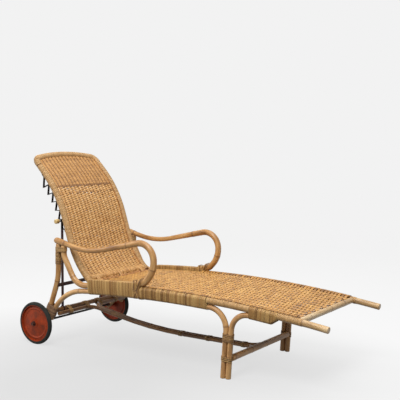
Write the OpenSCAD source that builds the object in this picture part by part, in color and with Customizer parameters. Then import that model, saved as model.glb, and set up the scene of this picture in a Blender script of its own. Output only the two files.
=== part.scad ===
// Reclining rattan chaise longue on two wheels, with a hinged woven back held
// by a prop bar in two iron racks, bent pole arms and straight carrying handles.
// Millimetres, +Z up, head at -X, feet and handles at +X, floor at Z = 0.

/* [Overall] */
// Length from the back of the wheels to the handle ends
overall_length = 1900; // [1800:2000]
// Width between the centre lines of the two side rails
seat_width = 612; // [560:660]
// Height of the crown of the side rails' centre line
seat_height = 378; // [360:400]

/* [Poles] */
// Diameter of the side rails
rail_d = 32; // [28:34]
// Diameter of the lower rails, which also make the arches and front legs
lower_d = 28; // [24:30]
// Diameter of the arm poles at the posts
arm_d = 28; // [24:30]
// Diameter of the arm poles round the front loop
arm_front_d = 34; // [30:36]
// Diameter of the rear posts
post_d = 30; // [26:32]
// Diameter of the rear cross stretcher and the cross poles
cross_d = 26; // [22:28]
// Diameter of the front cross stretcher
front_cross_d = 32; // [28:34]
// Diameter of the two long stretchers
stretcher_d = 22; // [18:24]
// Extra radius of the natural knuckles on the poles
knuckle = 0.6; // [0.4:0.1:1]
// Thickness of the cane wrapping
wrap_t = 2.5; // [1.5:0.5:3.5]

/* [Rails] */
// Radius of the long bow of the side rails
rail_bow = 6600; // [5500:8000]
// Crown of the bow ahead of the axle
crown_from_axle = 800; // [750:850]
// Where the side rail starts to turn up, ahead of the axle
rail_turn_x = 345; // [335:355]
// Radius of that turn
rail_turn_r = 105; // [95:115]
// Slope of the rail between its two turns
rail_rise = 60; // [58:64]
// Length of the bare handles ahead of the foot crossbar
handle_length = 148; // [120:180]

/* [Rear posts] */
// Top of the post ahead of the axle
post_from_axle = 150; // [140:160]
// Slope of the post's foot, which the axle goes through
post_foot_slope = 43; // [38:50]
// Length of that foot ahead of the axle
post_foot = 96; // [85:105]
// Wood left behind the axle hole
post_tail = 24; // [20:30]
// Centre distance of the post and the rail end tied to it
lash_spread = 40; // [36:44]

/* [Arms] */
// Height of the arm over the post
arm_height = 592; // [570:610]
// How far the corner of the arm's dip lies below that
arm_dip = 48; // [30:55]
// Dip ahead of the post
arm_dip_x = 212; // [190:230]
// Radius of the dip
arm_dip_r = 500; // [400:550]
// Front of the loop ahead of the post
arm_reach = 658; // [630:690]
// Corner of the loop above the arm's height
arm_rise = 49; // [35:60]
// Radius of the loop's top bend
arm_loop_r = 88; // [75:95]
// Length over which the arm's end is pared to half its thickness
arm_scarf = 64; // [55:75]

/* [Front legs] */
// Feet ahead of the axle
leg_from_axle = 1225; // [1190:1260]
// Lean of the front legs, run over rise
leg_lean = 0.073; // [0.05:0.01:0.09]
// Radius of the leg's rear bend
leg_bend = 100; // [85:110]
// Radius of the fork pole's bend
fork_bend = 90; // [80:100]
// Length of the fork pole tied under the rail
fork_tail = 120; // [90:150]

/* [Stretchers] */
// Height of the front cross stretcher
front_stretcher_z = 99; // [90:110]
// Height of the rear cross stretcher over the axle
rear_stretcher_rise = 75; // [70:80]
// Rear cross stretcher ahead of the axle
rear_stretcher_x = 103; // [101:106]
// Height of the long stretchers at their lowest
long_stretcher_z = 90; // [80:100]

/* [Back] */
// Hinge line ahead of the axle
hinge_from_axle = 352; // [348:358]
// Hinge rod diameter
hinge_d = 10; // [8:12]
// Width over the centre lines of the back's side rails
back_width = 504; // [460:520]
// Diameter of the back's side rails and top pole
back_d = 32; // [28:34]
// Slope of the back at its foot
back_foot_slope = 43; // [40:46]
// Slope of the back at its middle
back_mid_slope = 72; // [70:74]
// Slope of the back at its head
back_head_slope = 46; // [43:50]
// Radius of the lower curve
back_foot_r = 480; // [440:520]
// Straight length at the middle
back_straight = 130; // [110:150]
// Radius of the upper curve
back_head_r = 650; // [600:700]
// Straight length at the head
back_head = 118; // [100:140]
// Radius of the top pole's bow
crown_r = 1070; // [900:1300]
// Thickness of the woven back
back_panel_t = 8; // [6:10]

/* [Racks and prop] */
// Teeth on each rack
teeth = 6; // [5:6]
// Spacing of the teeth
tooth_pitch = 57; // [54:58]
// Lowest tooth, along the back's centre line from its foot
rack_start = 326; // [320:330]
// Reach of the lowest tooth behind the centre line
tooth_reach = 42; // [40:46]
// Growth of the reach from tooth to tooth
tooth_growth = 4; // [2:5]
// Thickness of the rack's iron strip
rack_t = 4; // [3:5]
// Width of the rack's iron strip
rack_w = 12; // [8:14]
// Prop rod diameter
prop_rod_d = 10; // [8:10]
// Prop rod below the second tooth's tip
prop_drop = 12; // [11:0.5:14]
// Prop rod outside the line of the tips
prop_out = 2; // [1.5:0.5:4]
// Distance of each prop leg from the middle
prop_leg_y = 230; // [220:232]

/* [Wheels] */
// Wheel diameter over the tyre
wheel_d = 240; // [220:260]
// Height of the tyre's section
tyre_h = 17; // [14:20]
// Width of the tyre
tyre_w = 24; // [20:26]
// Width of the wheel hub
hub_w = 30; // [26:34]
// Axle diameter
axle_d = 12; // [10:14]
// Thickness of the washer between post and hub
washer_t = 3; // [2:5]

/* [Woven seat] */
// Thickness of the woven seat
seat_panel_t = 10; // [8:12]
// Height of the rows that stand up in the weave
weave_relief = 1.6; // [1:0.1:2]
// Spacing of those rows across the seat
seat_row = 41; // [36:60]
// Spacing of those rows across the back
back_row = 58; // [50:70]

/* [Hidden] */
$fn = 48;
gap = 0.3;
ax = -(overall_length - wheel_d) / 2;
az = wheel_d / 2;
half = seat_width / 2;
rail_r = rail_d / 2;
low_r = lower_d / 2;
arm_r = arm_d / 2;
arm_front_r = arm_front_d / 2;
post_r = post_d / 2;
cross_r = cross_d / 2;
front_cross_r = front_cross_d / 2;
long_r = stretcher_d / 2;
back_r = back_d / 2;
crown_x = ax + crown_from_axle;
low_off = -(rail_r + low_r + knuckle + gap);
handle_end = overall_length / 2 - rail_r * (overall_length / 2 - crown_x) / rail_bow;
foot_bar_x = handle_end - handle_length;
post_x = ax + post_from_axle;

// Vectors, and the place of a pole's pieces
function fine(r) = max(48, ceil(12 * sqrt(r)));
function unit(v) = v / norm(v);
function turn(a, b) = acos(max(-1, min(1, a * b)));
function slope(a) = [cos(a), 0, sin(a)];
function bow_z(x, off = 0) =
    seat_height - rail_bow + sqrt(pow(rail_bow + off, 2) - pow(x - crown_x, 2));
function bow_dir(x, off = 0) =
    unit([sqrt(pow(rail_bow + off, 2) - pow(x - crown_x, 2)), 0, crown_x - x]);
function bow_at(x, off = 0) = [x, 0, bow_z(x, off)];
function meet(p, a, q, b) =
    p + a * ((q[0] - p[0]) * b[2] - (q[2] - p[2]) * b[0]) / (a[0] * b[2] - a[2] * b[0]);

module at(p, x, y, z) {
    multmatrix([[x[0], y[0], z[0], p[0]], [x[1], y[1], z[1], p[1]],
        [x[2], y[2], z[2], p[2]], [0, 0, 0, 1]]) children();
}

module along(p, z) {
    s = abs(z[1]) < 0.9 ? [0, 1, 0] : [1, 0, 0];
    x = unit(cross(s, z));
    at(p, x, cross(z, x), z) children();
}

module rod(p, q, r) {
    along(p, unit(q - p)) cylinder(h = norm(q - p), r = r);
}

module taper(p, q, r1, r2) {
    along(p, unit(q - p)) cylinder(h = norm(q - p), r1 = r1, r2 = r2);
}

module elbow(p, a, b, bend, r) {
    k = unit(cross(a, b));
    c = p - bend * tan(turn(a, b) / 2) * a + bend * cross(k, a);
    e = asin(1 / bend);
    at(c, unit(cross(a, k)), a, k) rotate([0, 0, e])
        rotate_extrude(angle = turn(a, b) - 2 * e, $fn = fine(bend + r)) translate([bend, 0]) circle(r);
}

// A pole bent round corner points, with a knuckle where a bend starts or ends
module pole(pts, bends, r, swell = knuckle) {
    n = len(pts);
    d = [for (i = [0:n - 2]) unit(pts[i + 1] - pts[i])];
    t = [for (i = [0:n - 1]) i == 0 || i == n - 1 ? 0 : bends[i - 1] * tan(turn(d[i - 1], d[i]) / 2)];
    for (i = [0:n - 2]) {
        p = pts[i] + (t[i] + (i > 0 ? 1 : 0)) * d[i];
        q = pts[i + 1] - (t[i + 1] + (i < n - 2 ? 1 : 0)) * d[i];
        if ((q - p) * d[i] > 0.1) rod(p, q, r);
    }
    for (i = [1:n - 2]) {
        elbow(pts[i], d[i - 1], d[i], bends[i - 1], r);
        along(pts[i] - t[i] * d[i - 1], d[i - 1]) sphere(r + swell);
        along(pts[i] + t[i] * d[i], d[i]) sphere(r + swell);
    }
}

// A profile swept along the rails' bow, drawn as offset from the bow and Y
module bow(x0, x1, off = 0) {
    b0 = asin((x0 - crown_x) / (rail_bow + off));
    b1 = asin((x1 - crown_x) / (rail_bow + off));
    at([crown_x, 0, seat_height - rail_bow], [sin(b0), 0, cos(b0)], [cos(b0), 0, -sin(b0)], [0, 1, 0])
        rotate_extrude(angle = b1 - b0, $fn = fine(rail_bow)) translate([rail_bow + off, 0]) children();
}

module side(s) {
    translate([0, s * half, 0]) children();
}

// The side rail turns up at its rear end and is tied to the post
hinge_at = bow_at(ax + hinge_from_axle);
hinge_seat = 12;
turn_x = ax + rail_turn_x;
rail_up = [-cos(rail_rise), 0, sin(rail_rise)];
rail_p0 = bow_at(turn_x);
rail_d0 = -bow_dir(turn_x);
rail_v1 = rail_p0 + rail_turn_r * tan(turn(rail_d0, rail_up) / 2) * rail_d0;
rail_top_x = post_x + lash_spread;
rail_v2 = meet(rail_v1, rail_up, [rail_top_x, 0, 0], [0, 0, 1]);
arm_start = [post_x, 0, arm_height];
arm_v1 = [post_x + arm_dip_x, 0, arm_height - arm_dip];
arm_d0 = unit(arm_v1 - arm_start);
post_top = arm_height - arm_r / cos(atan2(arm_dip, arm_dip_x)) - gap;

module rail_path(r, top) {
    bow(turn_x + 1, handle_end) circle(r);
    pole([rail_p0, rail_v1, rail_v2, [rail_top_x, 0, top]], [rail_turn_r, 60], r);
}

module side_rail() {
    difference() {
        rail_path(rail_r, post_top - 4);
        arm_seat();
        translate(hinge_at + [0, hinge_seat + gap - rail_r, 0]) rotate([90, 0, 0])
            cylinder(h = rail_d, r = hinge_d / 2 + gap / 2);
    }
}

// The rear post sweeps back to the axle, which goes through its foot
axle_at = [ax, 0, az];
post_foot_dir = slope(post_foot_slope);
post_b = axle_at + post_foot * post_foot_dir;
post_c = [post_x - 4, 0, seat_height + 7];
post_slope = atan2(post_c[2] - post_b[2], post_c[0] - post_b[0]);
post_dir = slope(post_slope);

module post_path(r, top) {
    pole([axle_at - post_tail * post_foot_dir, post_b, post_c, [post_x, 0, top]], [90, 300], r);
}

module arm_seat() {
    rod(arm_start - 60 * arm_d0, arm_start + 90 * arm_d0, arm_r + gap);
}

module rear_post() {
    difference() {
        post_path(post_r, arm_height);
        arm_seat();
        translate(axle_at) rotate([90, 0, 0]) cylinder(h = 2 * post_d, r = axle_d / 2 + gap / 2, center = true);
    }
}

// The lower rail: rear arch beside the post, run under the rail, front leg
arch_side = post_b + [sin(post_slope), 0, -cos(post_slope)] * (post_r + low_r + gap);
arch_x = ax + 319;
arch_d = -bow_dir(arch_x, low_off);
arch_v = meet(bow_at(arch_x, low_off), arch_d, arch_side, post_dir);
arch_t = (bow_at(arch_x, low_off) - arch_v) * (-arch_d);
arch_bend = arch_t / tan(turn(arch_d, -post_dir) / 2);
arch_end = arch_v - (arch_t + 14) * post_dir;
leg_up = unit([leg_lean, 0, 1]);
leg_foot = [ax + leg_from_axle, 0, 0];
fork_foot = leg_foot + [(2 * low_r + knuckle + gap) / cos(atan(leg_lean)), 0, 0];
leg_v = meet(leg_foot, leg_up, bow_at(leg_foot[0] - 80, low_off), bow_dir(leg_foot[0] - 80, low_off));
leg_x = leg_v[0] - leg_bend * 1.01;
leg_w = meet(leg_foot, leg_up, bow_at(leg_x, low_off), bow_dir(leg_x, low_off));
leg_t = norm(leg_w - bow_at(leg_x, low_off));
leg_r = leg_t / tan(turn(bow_dir(leg_x, low_off), -leg_up) / 2);

module lower_rail() {
    difference() {
        union() {
            bow(arch_x + 1, leg_x - 1, low_off) circle(low_r);
            pole([bow_at(arch_x, low_off), arch_v, arch_end], [arch_bend], low_r);
            pole([bow_at(leg_x, low_off), leg_w, leg_foot - 20 * leg_up], [leg_r], low_r);
        }
        floor_cut();
    }
}

module floor_cut() {
    translate([leg_foot[0], 0, -30]) cube([300, 4 * lower_d, 60], center = true);
}

fork_v = meet(fork_foot, leg_up, bow_at(fork_foot[0] + 60, low_off), bow_dir(fork_foot[0] + 60, low_off));
fork_x = fork_v[0] + fork_bend * 1.01;
fork_w = meet(fork_foot, leg_up, bow_at(fork_x, low_off), bow_dir(fork_x, low_off));
fork_r = norm(fork_w - bow_at(fork_x, low_off)) / tan(turn(leg_up, bow_dir(fork_x, low_off)) / 2);

module fork_pole() {
    difference() {
        union() {
            bow(fork_x + 1, fork_x + fork_tail, low_off) circle(low_r);
            pole([fork_foot - 20 * leg_up, fork_w, bow_at(fork_x, low_off)], [fork_r], low_r);
        }
        floor_cut();
    }
}

// The arm rests on the post and loops at the front, where it is thicker. Its end is
// pared to half its thickness and runs back on top of the rail, under the wrapping
arm_v2 = [post_x + arm_reach, 0, arm_height + arm_rise];
arm_v3 = [post_x + arm_reach, 0, seat_height + 98];
arm_lift = rail_r + arm_front_r + knuckle + gap;
arm_v4 = bow_at(arm_v3[0] - 64, arm_lift);
arm_d1 = unit(arm_v2 - arm_v1);
arm_d3 = unit(arm_v4 - arm_v3);
arm_d4 = -bow_dir(arm_v4[0], arm_lift);
arm_end_bend = 50;
arm_t1 = arm_dip_r * tan(turn(arm_d0, arm_d1) / 2);
arm_t2 = arm_loop_r * tan(turn(arm_d1, [0, 0, -1]) / 2);
arm_t4 = arm_end_bend * tan(turn(arm_d3, arm_d4) / 2);
arm_v5 = arm_v4 + (arm_t4 + arm_scarf) * arm_d4;
tail_r = arm_front_r - 1.5;

module half_tail(r, top) {
    difference() {
        translate([arm_lift, 0]) circle(r);
        translate([arm_lift + top, -2 * r]) square([2 * r, 4 * r]);
    }
}

module arm() {
    difference() {
        union() {
            pole([arm_start - 26 * arm_d0, arm_v1, arm_v1 + (arm_t1 + 1) * arm_d1], [arm_dip_r], arm_r);
            taper(arm_v1 + (arm_t1 + 1) * arm_d1, arm_v2 - (arm_t2 + 1) * arm_d1, arm_r, arm_front_r);
            pole([arm_v2 - (arm_t2 + 1) * arm_d1, arm_v2, arm_v3, arm_v4, arm_v5],
                [arm_loop_r, 130, arm_end_bend], arm_front_r);
        }
        at(arm_v5 + [0, 0, 1], arm_d4, [0, 1, 0], [arm_d4[2], 0, -arm_d4[0]])
            rotate([0, atan((arm_front_r - 1) / arm_scarf), 0])
                translate([-arm_scarf - 20, -2 * arm_front_r, 0]) cube([arm_scarf + 60, 4 * arm_front_r, 60]);
    }
    bow(wrap_x0 + 2, arm_v5[0] + 5) half_tail(tail_r, 0);
}

// Cane wrappings that hide the joints of the poles
module stadium(a, ra, b, rb) {
    translate([a, 0]) circle(ra);
    translate([b, 0]) circle(rb);
    translate([min(a, b), -min(ra, rb) + 0.01]) square([abs(a - b), 2 * min(ra, rb) - 0.02]);
}

module bow_wrap(x0, x1) {
    bow(x0, x1) difference() {
        stadium(0, rail_r + gap + wrap_t, low_off, low_r + gap + wrap_t);
        circle(rail_r + gap);
        translate([low_off, 0]) circle(low_r + gap);
    }
}

wrap_x0 = turn_x + 30;
wrap_x1 = leg_x - 6;
tail_x1 = arm_v5[0] - 3;
arm_lies_x = arm_v4[0] + 34;

module apron_wrap() {
    bow(wrap_x0, tail_x1) difference() {
        union() {
            stadium(0, rail_r + gap + wrap_t, low_off, low_r + gap + wrap_t);
            difference() {
                stadium(0, rail_r + gap + wrap_t, arm_lift, tail_r + gap + wrap_t);
                translate([arm_lift + gap + wrap_t, -rail_d]) square([2 * rail_d, 2 * rail_d]);
            }
        }
        circle(rail_r + gap);
        half_tail(tail_r + gap, gap);
        translate([low_off, 0]) circle(low_r + gap);
    }
    bow(tail_x1 + gap, arm_lies_x - gap) difference() {
        stadium(0, rail_r + gap + wrap_t, low_off, low_r + gap + wrap_t);
        circle(rail_r + gap);
        translate([low_off, 0]) circle(low_r + gap);
        translate([rail_r / 2, -rail_d]) square([2 * rail_d, 2 * rail_d]);
    }
    bow_wrap(arm_lies_x, wrap_x1);
}

module foot_wrap() {
    bow_wrap(fork_x + 6, fork_x + fork_tail + 4);
    for (x = [[leg_x + 28, fork_x - 28], [fork_x + fork_tail + 4 + gap, foot_bar_x + cross_r + 8]])
        bow(x[0], x[1]) difference() {
            circle(rail_r + gap + wrap_t);
            circle(rail_r + gap);
        }
}

block_mid = (post_b + arch_side) / 2 + 22 * post_dir;

module axle_block() {
    difference() {
        at(block_mid - 32 * post_dir, [sin(post_slope), 0, -cos(post_slope)], [0, -1, 0], post_dir)
            linear_extrude(64) stadium(-low_r - gap / 2, post_r + gap + wrap_t, post_r + gap / 2 + 4, low_r + gap + wrap_t);
        post_path(post_r + gap, arm_height);
        pole([bow_at(arch_x, low_off), arch_v, arch_end - 40 * post_dir], [arch_bend], low_r + gap);
    }
}

binding_z = post_top - 41;

module post_binding() {
    difference() {
        translate([post_x, 0, binding_z]) linear_extrude(24)
            stadium(0, post_r + gap + wrap_t, lash_spread, rail_r + gap + wrap_t);
        post_path(post_r + gap, arm_height);
        rail_path(rail_r + gap, post_top + 20);
    }
}

leg_mid = (leg_foot + fork_foot) / 2;

module leg_band() {
    d = (fork_foot[0] - leg_foot[0]) / 2;
    z0 = front_stretcher_z - 12;
    difference() {
        translate([leg_mid[0] + leg_lean * front_stretcher_z, 0, z0]) linear_extrude(24)
            stadium(-d, low_r + gap + wrap_t, d, low_r + gap + wrap_t);
        rod(leg_foot, leg_foot + 200 * leg_up, low_r + gap);
        rod(fork_foot, fork_foot + 200 * leg_up, low_r + gap);
    }
}

// A cane winding: one flat strand wound round one pole, or round two side by side
loop_rings = 24;
cane_w = 7;
cane_t = 2.6;
cane_pitch = 7.8;
post_loops = 8;
leg_loops = 4;
function wind_c(i, r, d) = let (a = 7.5 + 360 * i / loop_rings) [
    (r + cane_t / 2) * cos(a) + (cos(a) > 0 ? d : -d), (r + cane_t / 2) * sin(a), cane_pitch * i / loop_rings];
function wind_ring(i, r, d) = let (a = 7.5 + 360 * i / loop_rings, c = wind_c(i, r, d), o = [cos(a), sin(a), 0])
    [for (k = [0:5]) c + o * (k == 0 || k == 3 ? 0 : (k < 3 ? 1 : -1) * cane_t / 2)
        + [0, 0, (k == 0 ? 1 : k == 3 ? -1 : (k == 1 || k == 5) ? 0.6 : -0.6) * cane_w / 2]];

module winding(loops, r, d = 0) {
    n = loops * loop_rings;
    pts = [for (i = [0:n]) each wind_ring(i, r, d)];
    faces = concat(
        [for (i = [0:n - 1], k = [0:5], h = [0:1]) let (a = i * 6 + k, b = i * 6 + (k + 1) % 6)
            h == 0 ? [a, a + 6, b] : [b, a + 6, b + 6]],
        [for (k = [1:4]) [0, k, k + 1]],
        [for (k = [1:4]) [n * 6, n * 6 + k + 1, n * 6 + k]]);
    polyhedron(pts, faces);
}

function wind_gap(r, d) = min([for (i = [0:loop_rings], k = [0:5], m = [0:5])
    norm(wind_ring(i, r, d)[k] - wind_ring(i + loop_rings, r, d)[m])]);
echo(least_gap_in_post_winding = wind_gap(post_r + gap, 0));
echo(least_gap_in_leg_winding = wind_gap(low_r + gap, norm(fork_foot - leg_foot) / 2));

lashing_z = binding_z - post_loops * cane_pitch - cane_w / 2 - 2;

module post_lashing() {
    v = [post_x, 0, arm_height] - post_c;
    z = unit(v);
    at(post_c + v * (lashing_z - post_c[2]) / v[2], unit(cross([0, 1, 0], z)), [0, 1, 0], z)
        winding(post_loops, post_r + gap);
}

module leg_lashing() {
    at(leg_mid + leg_lash_z * leg_up, unit(cross([0, 1, 0], leg_up)), [0, 1, 0], leg_up)
        winding(leg_loops, low_r + gap, norm(fork_foot - leg_foot) / 2);
}
leg_lash_z = leg_w[2] - leg_t - leg_loops * cane_pitch - 14;

module along_bow(x, l, r) {
    rod(bow_at(x) - l * bow_dir(x), bow_at(x) + l * bow_dir(x), r);
}

// Crossbar at the foot of the weave, and the woven seat between the rails
module foot_crossbar() {
    difference() {
        translate(bow_at(foot_bar_x)) rotate([90, 0, 0]) cylinder(h = seat_width, r = cross_r + 2, center = true);
        for (s = [-1, 1]) side(s) along_bow(foot_bar_x, 60, rail_r + wrap_t + 2 * gap);
    }
}

seat_x0 = ax + hinge_from_axle + 16;
seat_x1 = foot_bar_x - cross_r - 2 - gap;
panel_off = 3;

module seat_panel() {
    n = floor((seat_width - 2 * rail_d - 10) / seat_row);
    edge = rail_r + gap + wrap_t + gap;
    difference() {
        bow(seat_x0, seat_x1) difference() {
            union() {
                translate([panel_off, -half]) square([seat_panel_t - weave_relief, seat_width]);
                for (i = [0:n - 1]) translate([panel_off, (i - (n - 1) / 2) * seat_row - seat_row * 0.36])
                    square([seat_panel_t, seat_row * 0.72]);
            }
            for (s = [-1, 1]) translate([0, s * half]) circle(edge);
        }
        bow(seat_x0 - 5, arm_lies_x + gap) for (s = [-1, 1]) translate([-1, s * half - edge]) square([30, 2 * edge]);
    }
}

pole_off = panel_off - gap - cross_r;
pole_xs = [for (i = [0:4]) seat_x0 + cross_r + i * (seat_x1 - 90 - seat_x0 - cross_r) / 4];

module seat_cross_poles() {
    for (x = pole_xs) difference() {
        translate(bow_at(x, pole_off)) rotate([90, 0, 0])
            cylinder(h = seat_width, r = cross_r, center = true);
        for (s = [-1, 1]) side(s) bow(x - 60, x + 60)
            stadium(0, rail_r + gap + wrap_t + gap, low_off, low_r + gap + wrap_t + gap);
    }
}

// Stretchers between the posts and legs
rear_at = [ax + rear_stretcher_x, 0, az + rear_stretcher_rise];

module rear_cross_stretcher() {
    w = half - max(post_r, low_r) - wrap_t - 2 * gap;
    translate(rear_at) rotate([90, 0, 0]) cylinder(h = 2 * w, r = cross_r, center = true);
}

fork_at = fork_foot + front_stretcher_z / leg_up[2] * leg_up;
leg_at = leg_foot + front_stretcher_z / leg_up[2] * leg_up;

module front_cross_stretcher() {
    w = half - low_r - wrap_t - 2 * gap;
    translate(fork_at) rotate([90, 0, 0]) cylinder(h = 2 * w, r = front_cross_r, center = true);
}

module long_stretcher() {
    y = long_r + knuckle + gap / 2;
    w = half - max(post_r, low_r) - wrap_t - 2 * gap;
    v = half - low_r - wrap_t - 2 * gap;
    x0 = rear_at[0] + cross_r + long_r + gap;
    x1 = fork_at[0] - front_cross_r - long_r - gap;
    pole([[x0, w, rear_at[2] - 16], [x0, y, rear_at[2] - 16], [x0 + 430, y, long_stretcher_z + 8],
        [x1, y, long_stretcher_z], [x1, v, long_stretcher_z]], [60, 2600, 55], long_r);
}

module stretcher_bindings() {
    y = long_r + knuckle + gap / 2;
    x0 = rear_at[0] + cross_r + long_r + gap;
    p = [x0 + 430, 0, long_stretcher_z + 8];
    q = [fork_at[0] - front_cross_r - long_r - gap, 0, long_stretcher_z];
    b = unit(q - p);
    for (s = [200, norm(q - p) / 2 + 40, norm(q - p) - 80]) difference() {
        at(p + s * b, [0, 1, 0], unit(cross(b, [0, 1, 0])), b) linear_extrude(20)
            stadium(-y, long_r + gap + wrap_t, y, long_r + gap + wrap_t);
        for (k = [-1, 1]) rod(p + [0, k * y, 0], q + [0, k * y, 0], long_r + gap);
    }
}

brace_z = seat_height - 24;
brace_p = meet(post_b, post_dir, [0, 0, brace_z], [1, 0, 0]);

module rear_brace_bar() {
    at(brace_p + [sin(post_slope), 0, -cos(post_slope)] * (post_r + gap + 3),
        [sin(post_slope), 0, -cos(post_slope)], [0, 1, 0], post_dir)
        difference() {
            cube([6, seat_width + 16, 20], center = true);
            for (s = [-1, 1]) translate([0, s * half, 0]) rotate([0, 90, 0])
                cylinder(h = 20, d = 5, center = true);
        }
}

// Axle, wheels and what keeps them on it
hub_y = half + post_r + washer_t + gap;
wheel_y = hub_y + hub_w / 2;
axle_end = hub_y + hub_w + gap + 16;

module axle() {
    translate(axle_at) rotate([90, 0, 0]) cylinder(h = 2 * axle_end - 6, r = axle_d / 2, center = true);
}

module axle_collars() {
    for (s = [-1, 1]) translate([ax, 0, az]) rotate([90 * s, 0, 0]) {
        translate([0, 0, half + post_r + gap / 2]) ring(11, axle_d / 2 + gap / 2, washer_t);
        translate([0, 0, half - post_r - gap / 2 - 12]) ring(11, axle_d / 2 + gap / 2, 12);
    }
}

module ring(ro, ri, h) {
    difference() {
        cylinder(h = h, r = ro);
        translate([0, 0, -1]) cylinder(h = h + 2, r = ri);
    }
}

module hub_nuts() {
    for (s = [-1, 1]) translate([ax, 0, az]) rotate([90 * s, 0, 0]) translate([0, 0, hub_y + hub_w + gap])
        difference() {
            union() {
                cylinder(h = 2.5, r = 13);
                cylinder(h = 11, d = 22, $fn = 6);
                translate([0, 0, 9]) cylinder(h = 7, r = 8.5);
            }
            translate([0, 0, -1]) cylinder(h = 15, r = axle_d / 2 + gap / 2);
        }
}

module on_wheel(s) {
    translate([ax, s * wheel_y, az]) rotate([-90 * s, 0, 0]) children();
}

tyre_r = wheel_d / 2;
disc_r = tyre_r - tyre_h;

module wheel_tyre() {
    rotate_extrude($fn = 96) difference() {
        union() {
            translate([tyre_r - tyre_w / 2, 0]) circle(tyre_w / 2);
            translate([disc_r, -tyre_w / 2]) square([tyre_h - tyre_w / 2, tyre_w]);
        }
        translate([disc_r - tyre_w, -tyre_w]) square([tyre_w + gap, 2 * tyre_w]);
        translate([disc_r, -3 - gap]) square([6 + gap, 6 + 2 * gap]);
    }
}

// The pressed disc is dished outward round the hub and has one raised bead
module wheel_disc() {
    t = 2.5;
    c = hub_w / 2 - 4;
    rotate_extrude($fn = 96) union() {
        translate([disc_r - 3, -tyre_w / 2 + 1]) square([3, tyre_w - 2]);
        translate([disc_r - 1, -3]) square([6, 6]);
        polygon([[16 + gap, c - t], [30, c - t], [46, c - t - 3], [disc_r - 26, 1], [disc_r - 20, 4],
            [disc_r - 14, 1], [disc_r - 2, -1], [disc_r - 2, -1 + t], [disc_r - 13, 1 + t],
            [disc_r - 20, 4 + t], [disc_r - 27, 1 + t], [46, c - 3], [30, c], [16 + gap, c]]);
    }
}

module wheel_hub() {
    c = hub_w / 2 - 4;
    difference() {
        union() {
            translate([0, 0, -hub_w / 2]) cylinder(h = hub_w, r = 16);
            translate([0, 0, c + gap]) cylinder(h = 2.5, r = 24);
            translate([0, 0, c - 2.5 - gap - 2.5]) cylinder(h = 2.5, r = 24);
        }
        translate([0, 0, -hub_w]) cylinder(h = 2 * hub_w, r = axle_d / 2 + gap);
    }
}

// Hinge of the back: a rod between the rails, and clips on the back's bottom pole
back_foot_at = hinge_at + [-32, 0, 24];

module hinge_rod() {
    translate(hinge_at) rotate([90, 0, 0])
        cylinder(h = 2 * (half - rail_r + hinge_seat), r = hinge_d / 2, center = true);
}

// The back's centre line, by the length along it from its foot
function back_dir(a) = [-cos(a), 0, sin(a)];
arc1 = back_foot_r * (back_mid_slope - back_foot_slope) * PI / 180;
arc2 = back_head_r * (back_mid_slope - back_head_slope) * PI / 180;
tan1 = back_foot_r * tan((back_mid_slope - back_foot_slope) / 2);
tan2 = back_head_r * tan((back_mid_slope - back_head_slope) / 2);
back_v1 = back_foot_at + tan1 * back_dir(back_foot_slope);
back_p1 = back_v1 + tan1 * back_dir(back_mid_slope);
back_p2 = back_p1 + back_straight * back_dir(back_mid_slope);
back_v2 = back_p2 + tan2 * back_dir(back_mid_slope);
back_p3 = back_v2 + tan2 * back_dir(back_head_slope);
back_top_at = back_p3 + back_head * back_dir(back_head_slope);
back_length = arc1 + back_straight + arc2 + back_head;
function back_angle(s) =
    s < arc1 ? back_foot_slope + s / back_foot_r * 180 / PI :
    s < arc1 + back_straight ? back_mid_slope :
    s < arc1 + back_straight + arc2 ? back_mid_slope - (s - arc1 - back_straight) / back_head_r * 180 / PI :
    back_head_slope;
function rear(a) = [-sin(a), 0, -cos(a)];
function back_at(s, off = 0) = let (a = back_angle(s))
    off * rear(a) + (
    s < arc1 ? back_foot_at - back_foot_r * (rear(back_foot_slope) - rear(a)) :
    s < arc1 + back_straight ? back_p1 + (s - arc1) * back_dir(back_mid_slope) :
    s < arc1 + back_straight + arc2 ? back_p2 + back_head_r * (rear(back_mid_slope) - rear(a)) :
    back_p3 + (s - arc1 - back_straight - arc2) * back_dir(back_head_slope));

corner_r = 42;
back_half = back_width / 2;
rail_stop = back_r + knuckle + 1.4;

module back_rail() {
    pole([back_foot_at - 18 * back_dir(back_foot_slope), back_v1, back_v2,
        back_top_at - (corner_r + rail_stop) * back_dir(back_head_slope)],
        [back_foot_r, back_head_r], back_r);
}

module back_top_pole() {
    u = back_dir(back_head_slope);
    f = asin((back_half - corner_r) / (crown_r - corner_r));
    at(back_top_at - corner_r * u, [0, 1, 0], u, -rear(back_head_slope)) {
        translate([0, corner_r * cos(f) - crown_r * cos(f), 0]) rotate([0, 0, 90 - f + 0.06])
            rotate_extrude(angle = 2 * f - 0.12, $fn = fine(crown_r)) translate([crown_r, 0]) circle(back_r);
        for (s = [-1, 1]) {
            translate([s * (back_half - corner_r), 0, 0]) rotate([0, 0, s > 0 ? 1.5 : 90 + f + 1.5])
                rotate_extrude(angle = 90 - f - 3) translate([corner_r, 0]) circle(back_r);
            along([s * back_half, 0, 0], [0, 1, 0]) sphere(back_r + knuckle);
            along([s * crown_r * sin(f), corner_r * cos(f), 0], [cos(f), -s * sin(f), 0]) sphere(back_r + knuckle);
            translate([s * back_half, -rail_stop + gap, 0]) rotate([-90, 0, 0]) cylinder(h = rail_stop - gap - 1, r = back_r);
        }
    }
}

module back_bottom_pole() {
    difference() {
        translate(back_foot_at) rotate([90, 0, 0]) cylinder(h = back_width, r = cross_r, center = true);
        for (s = [-1, 1]) translate([0, s * back_half, 0])
            rod(back_foot_at - 40 * back_dir(back_foot_slope), back_foot_at + 60 * back_dir(back_foot_slope),
                back_r + knuckle + gap);
    }
}

panel_w = back_width - back_d - 2 * knuckle - 2 * gap;
panel_s0 = cross_r + 4;
panel_s1 = back_length - 70;

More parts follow.
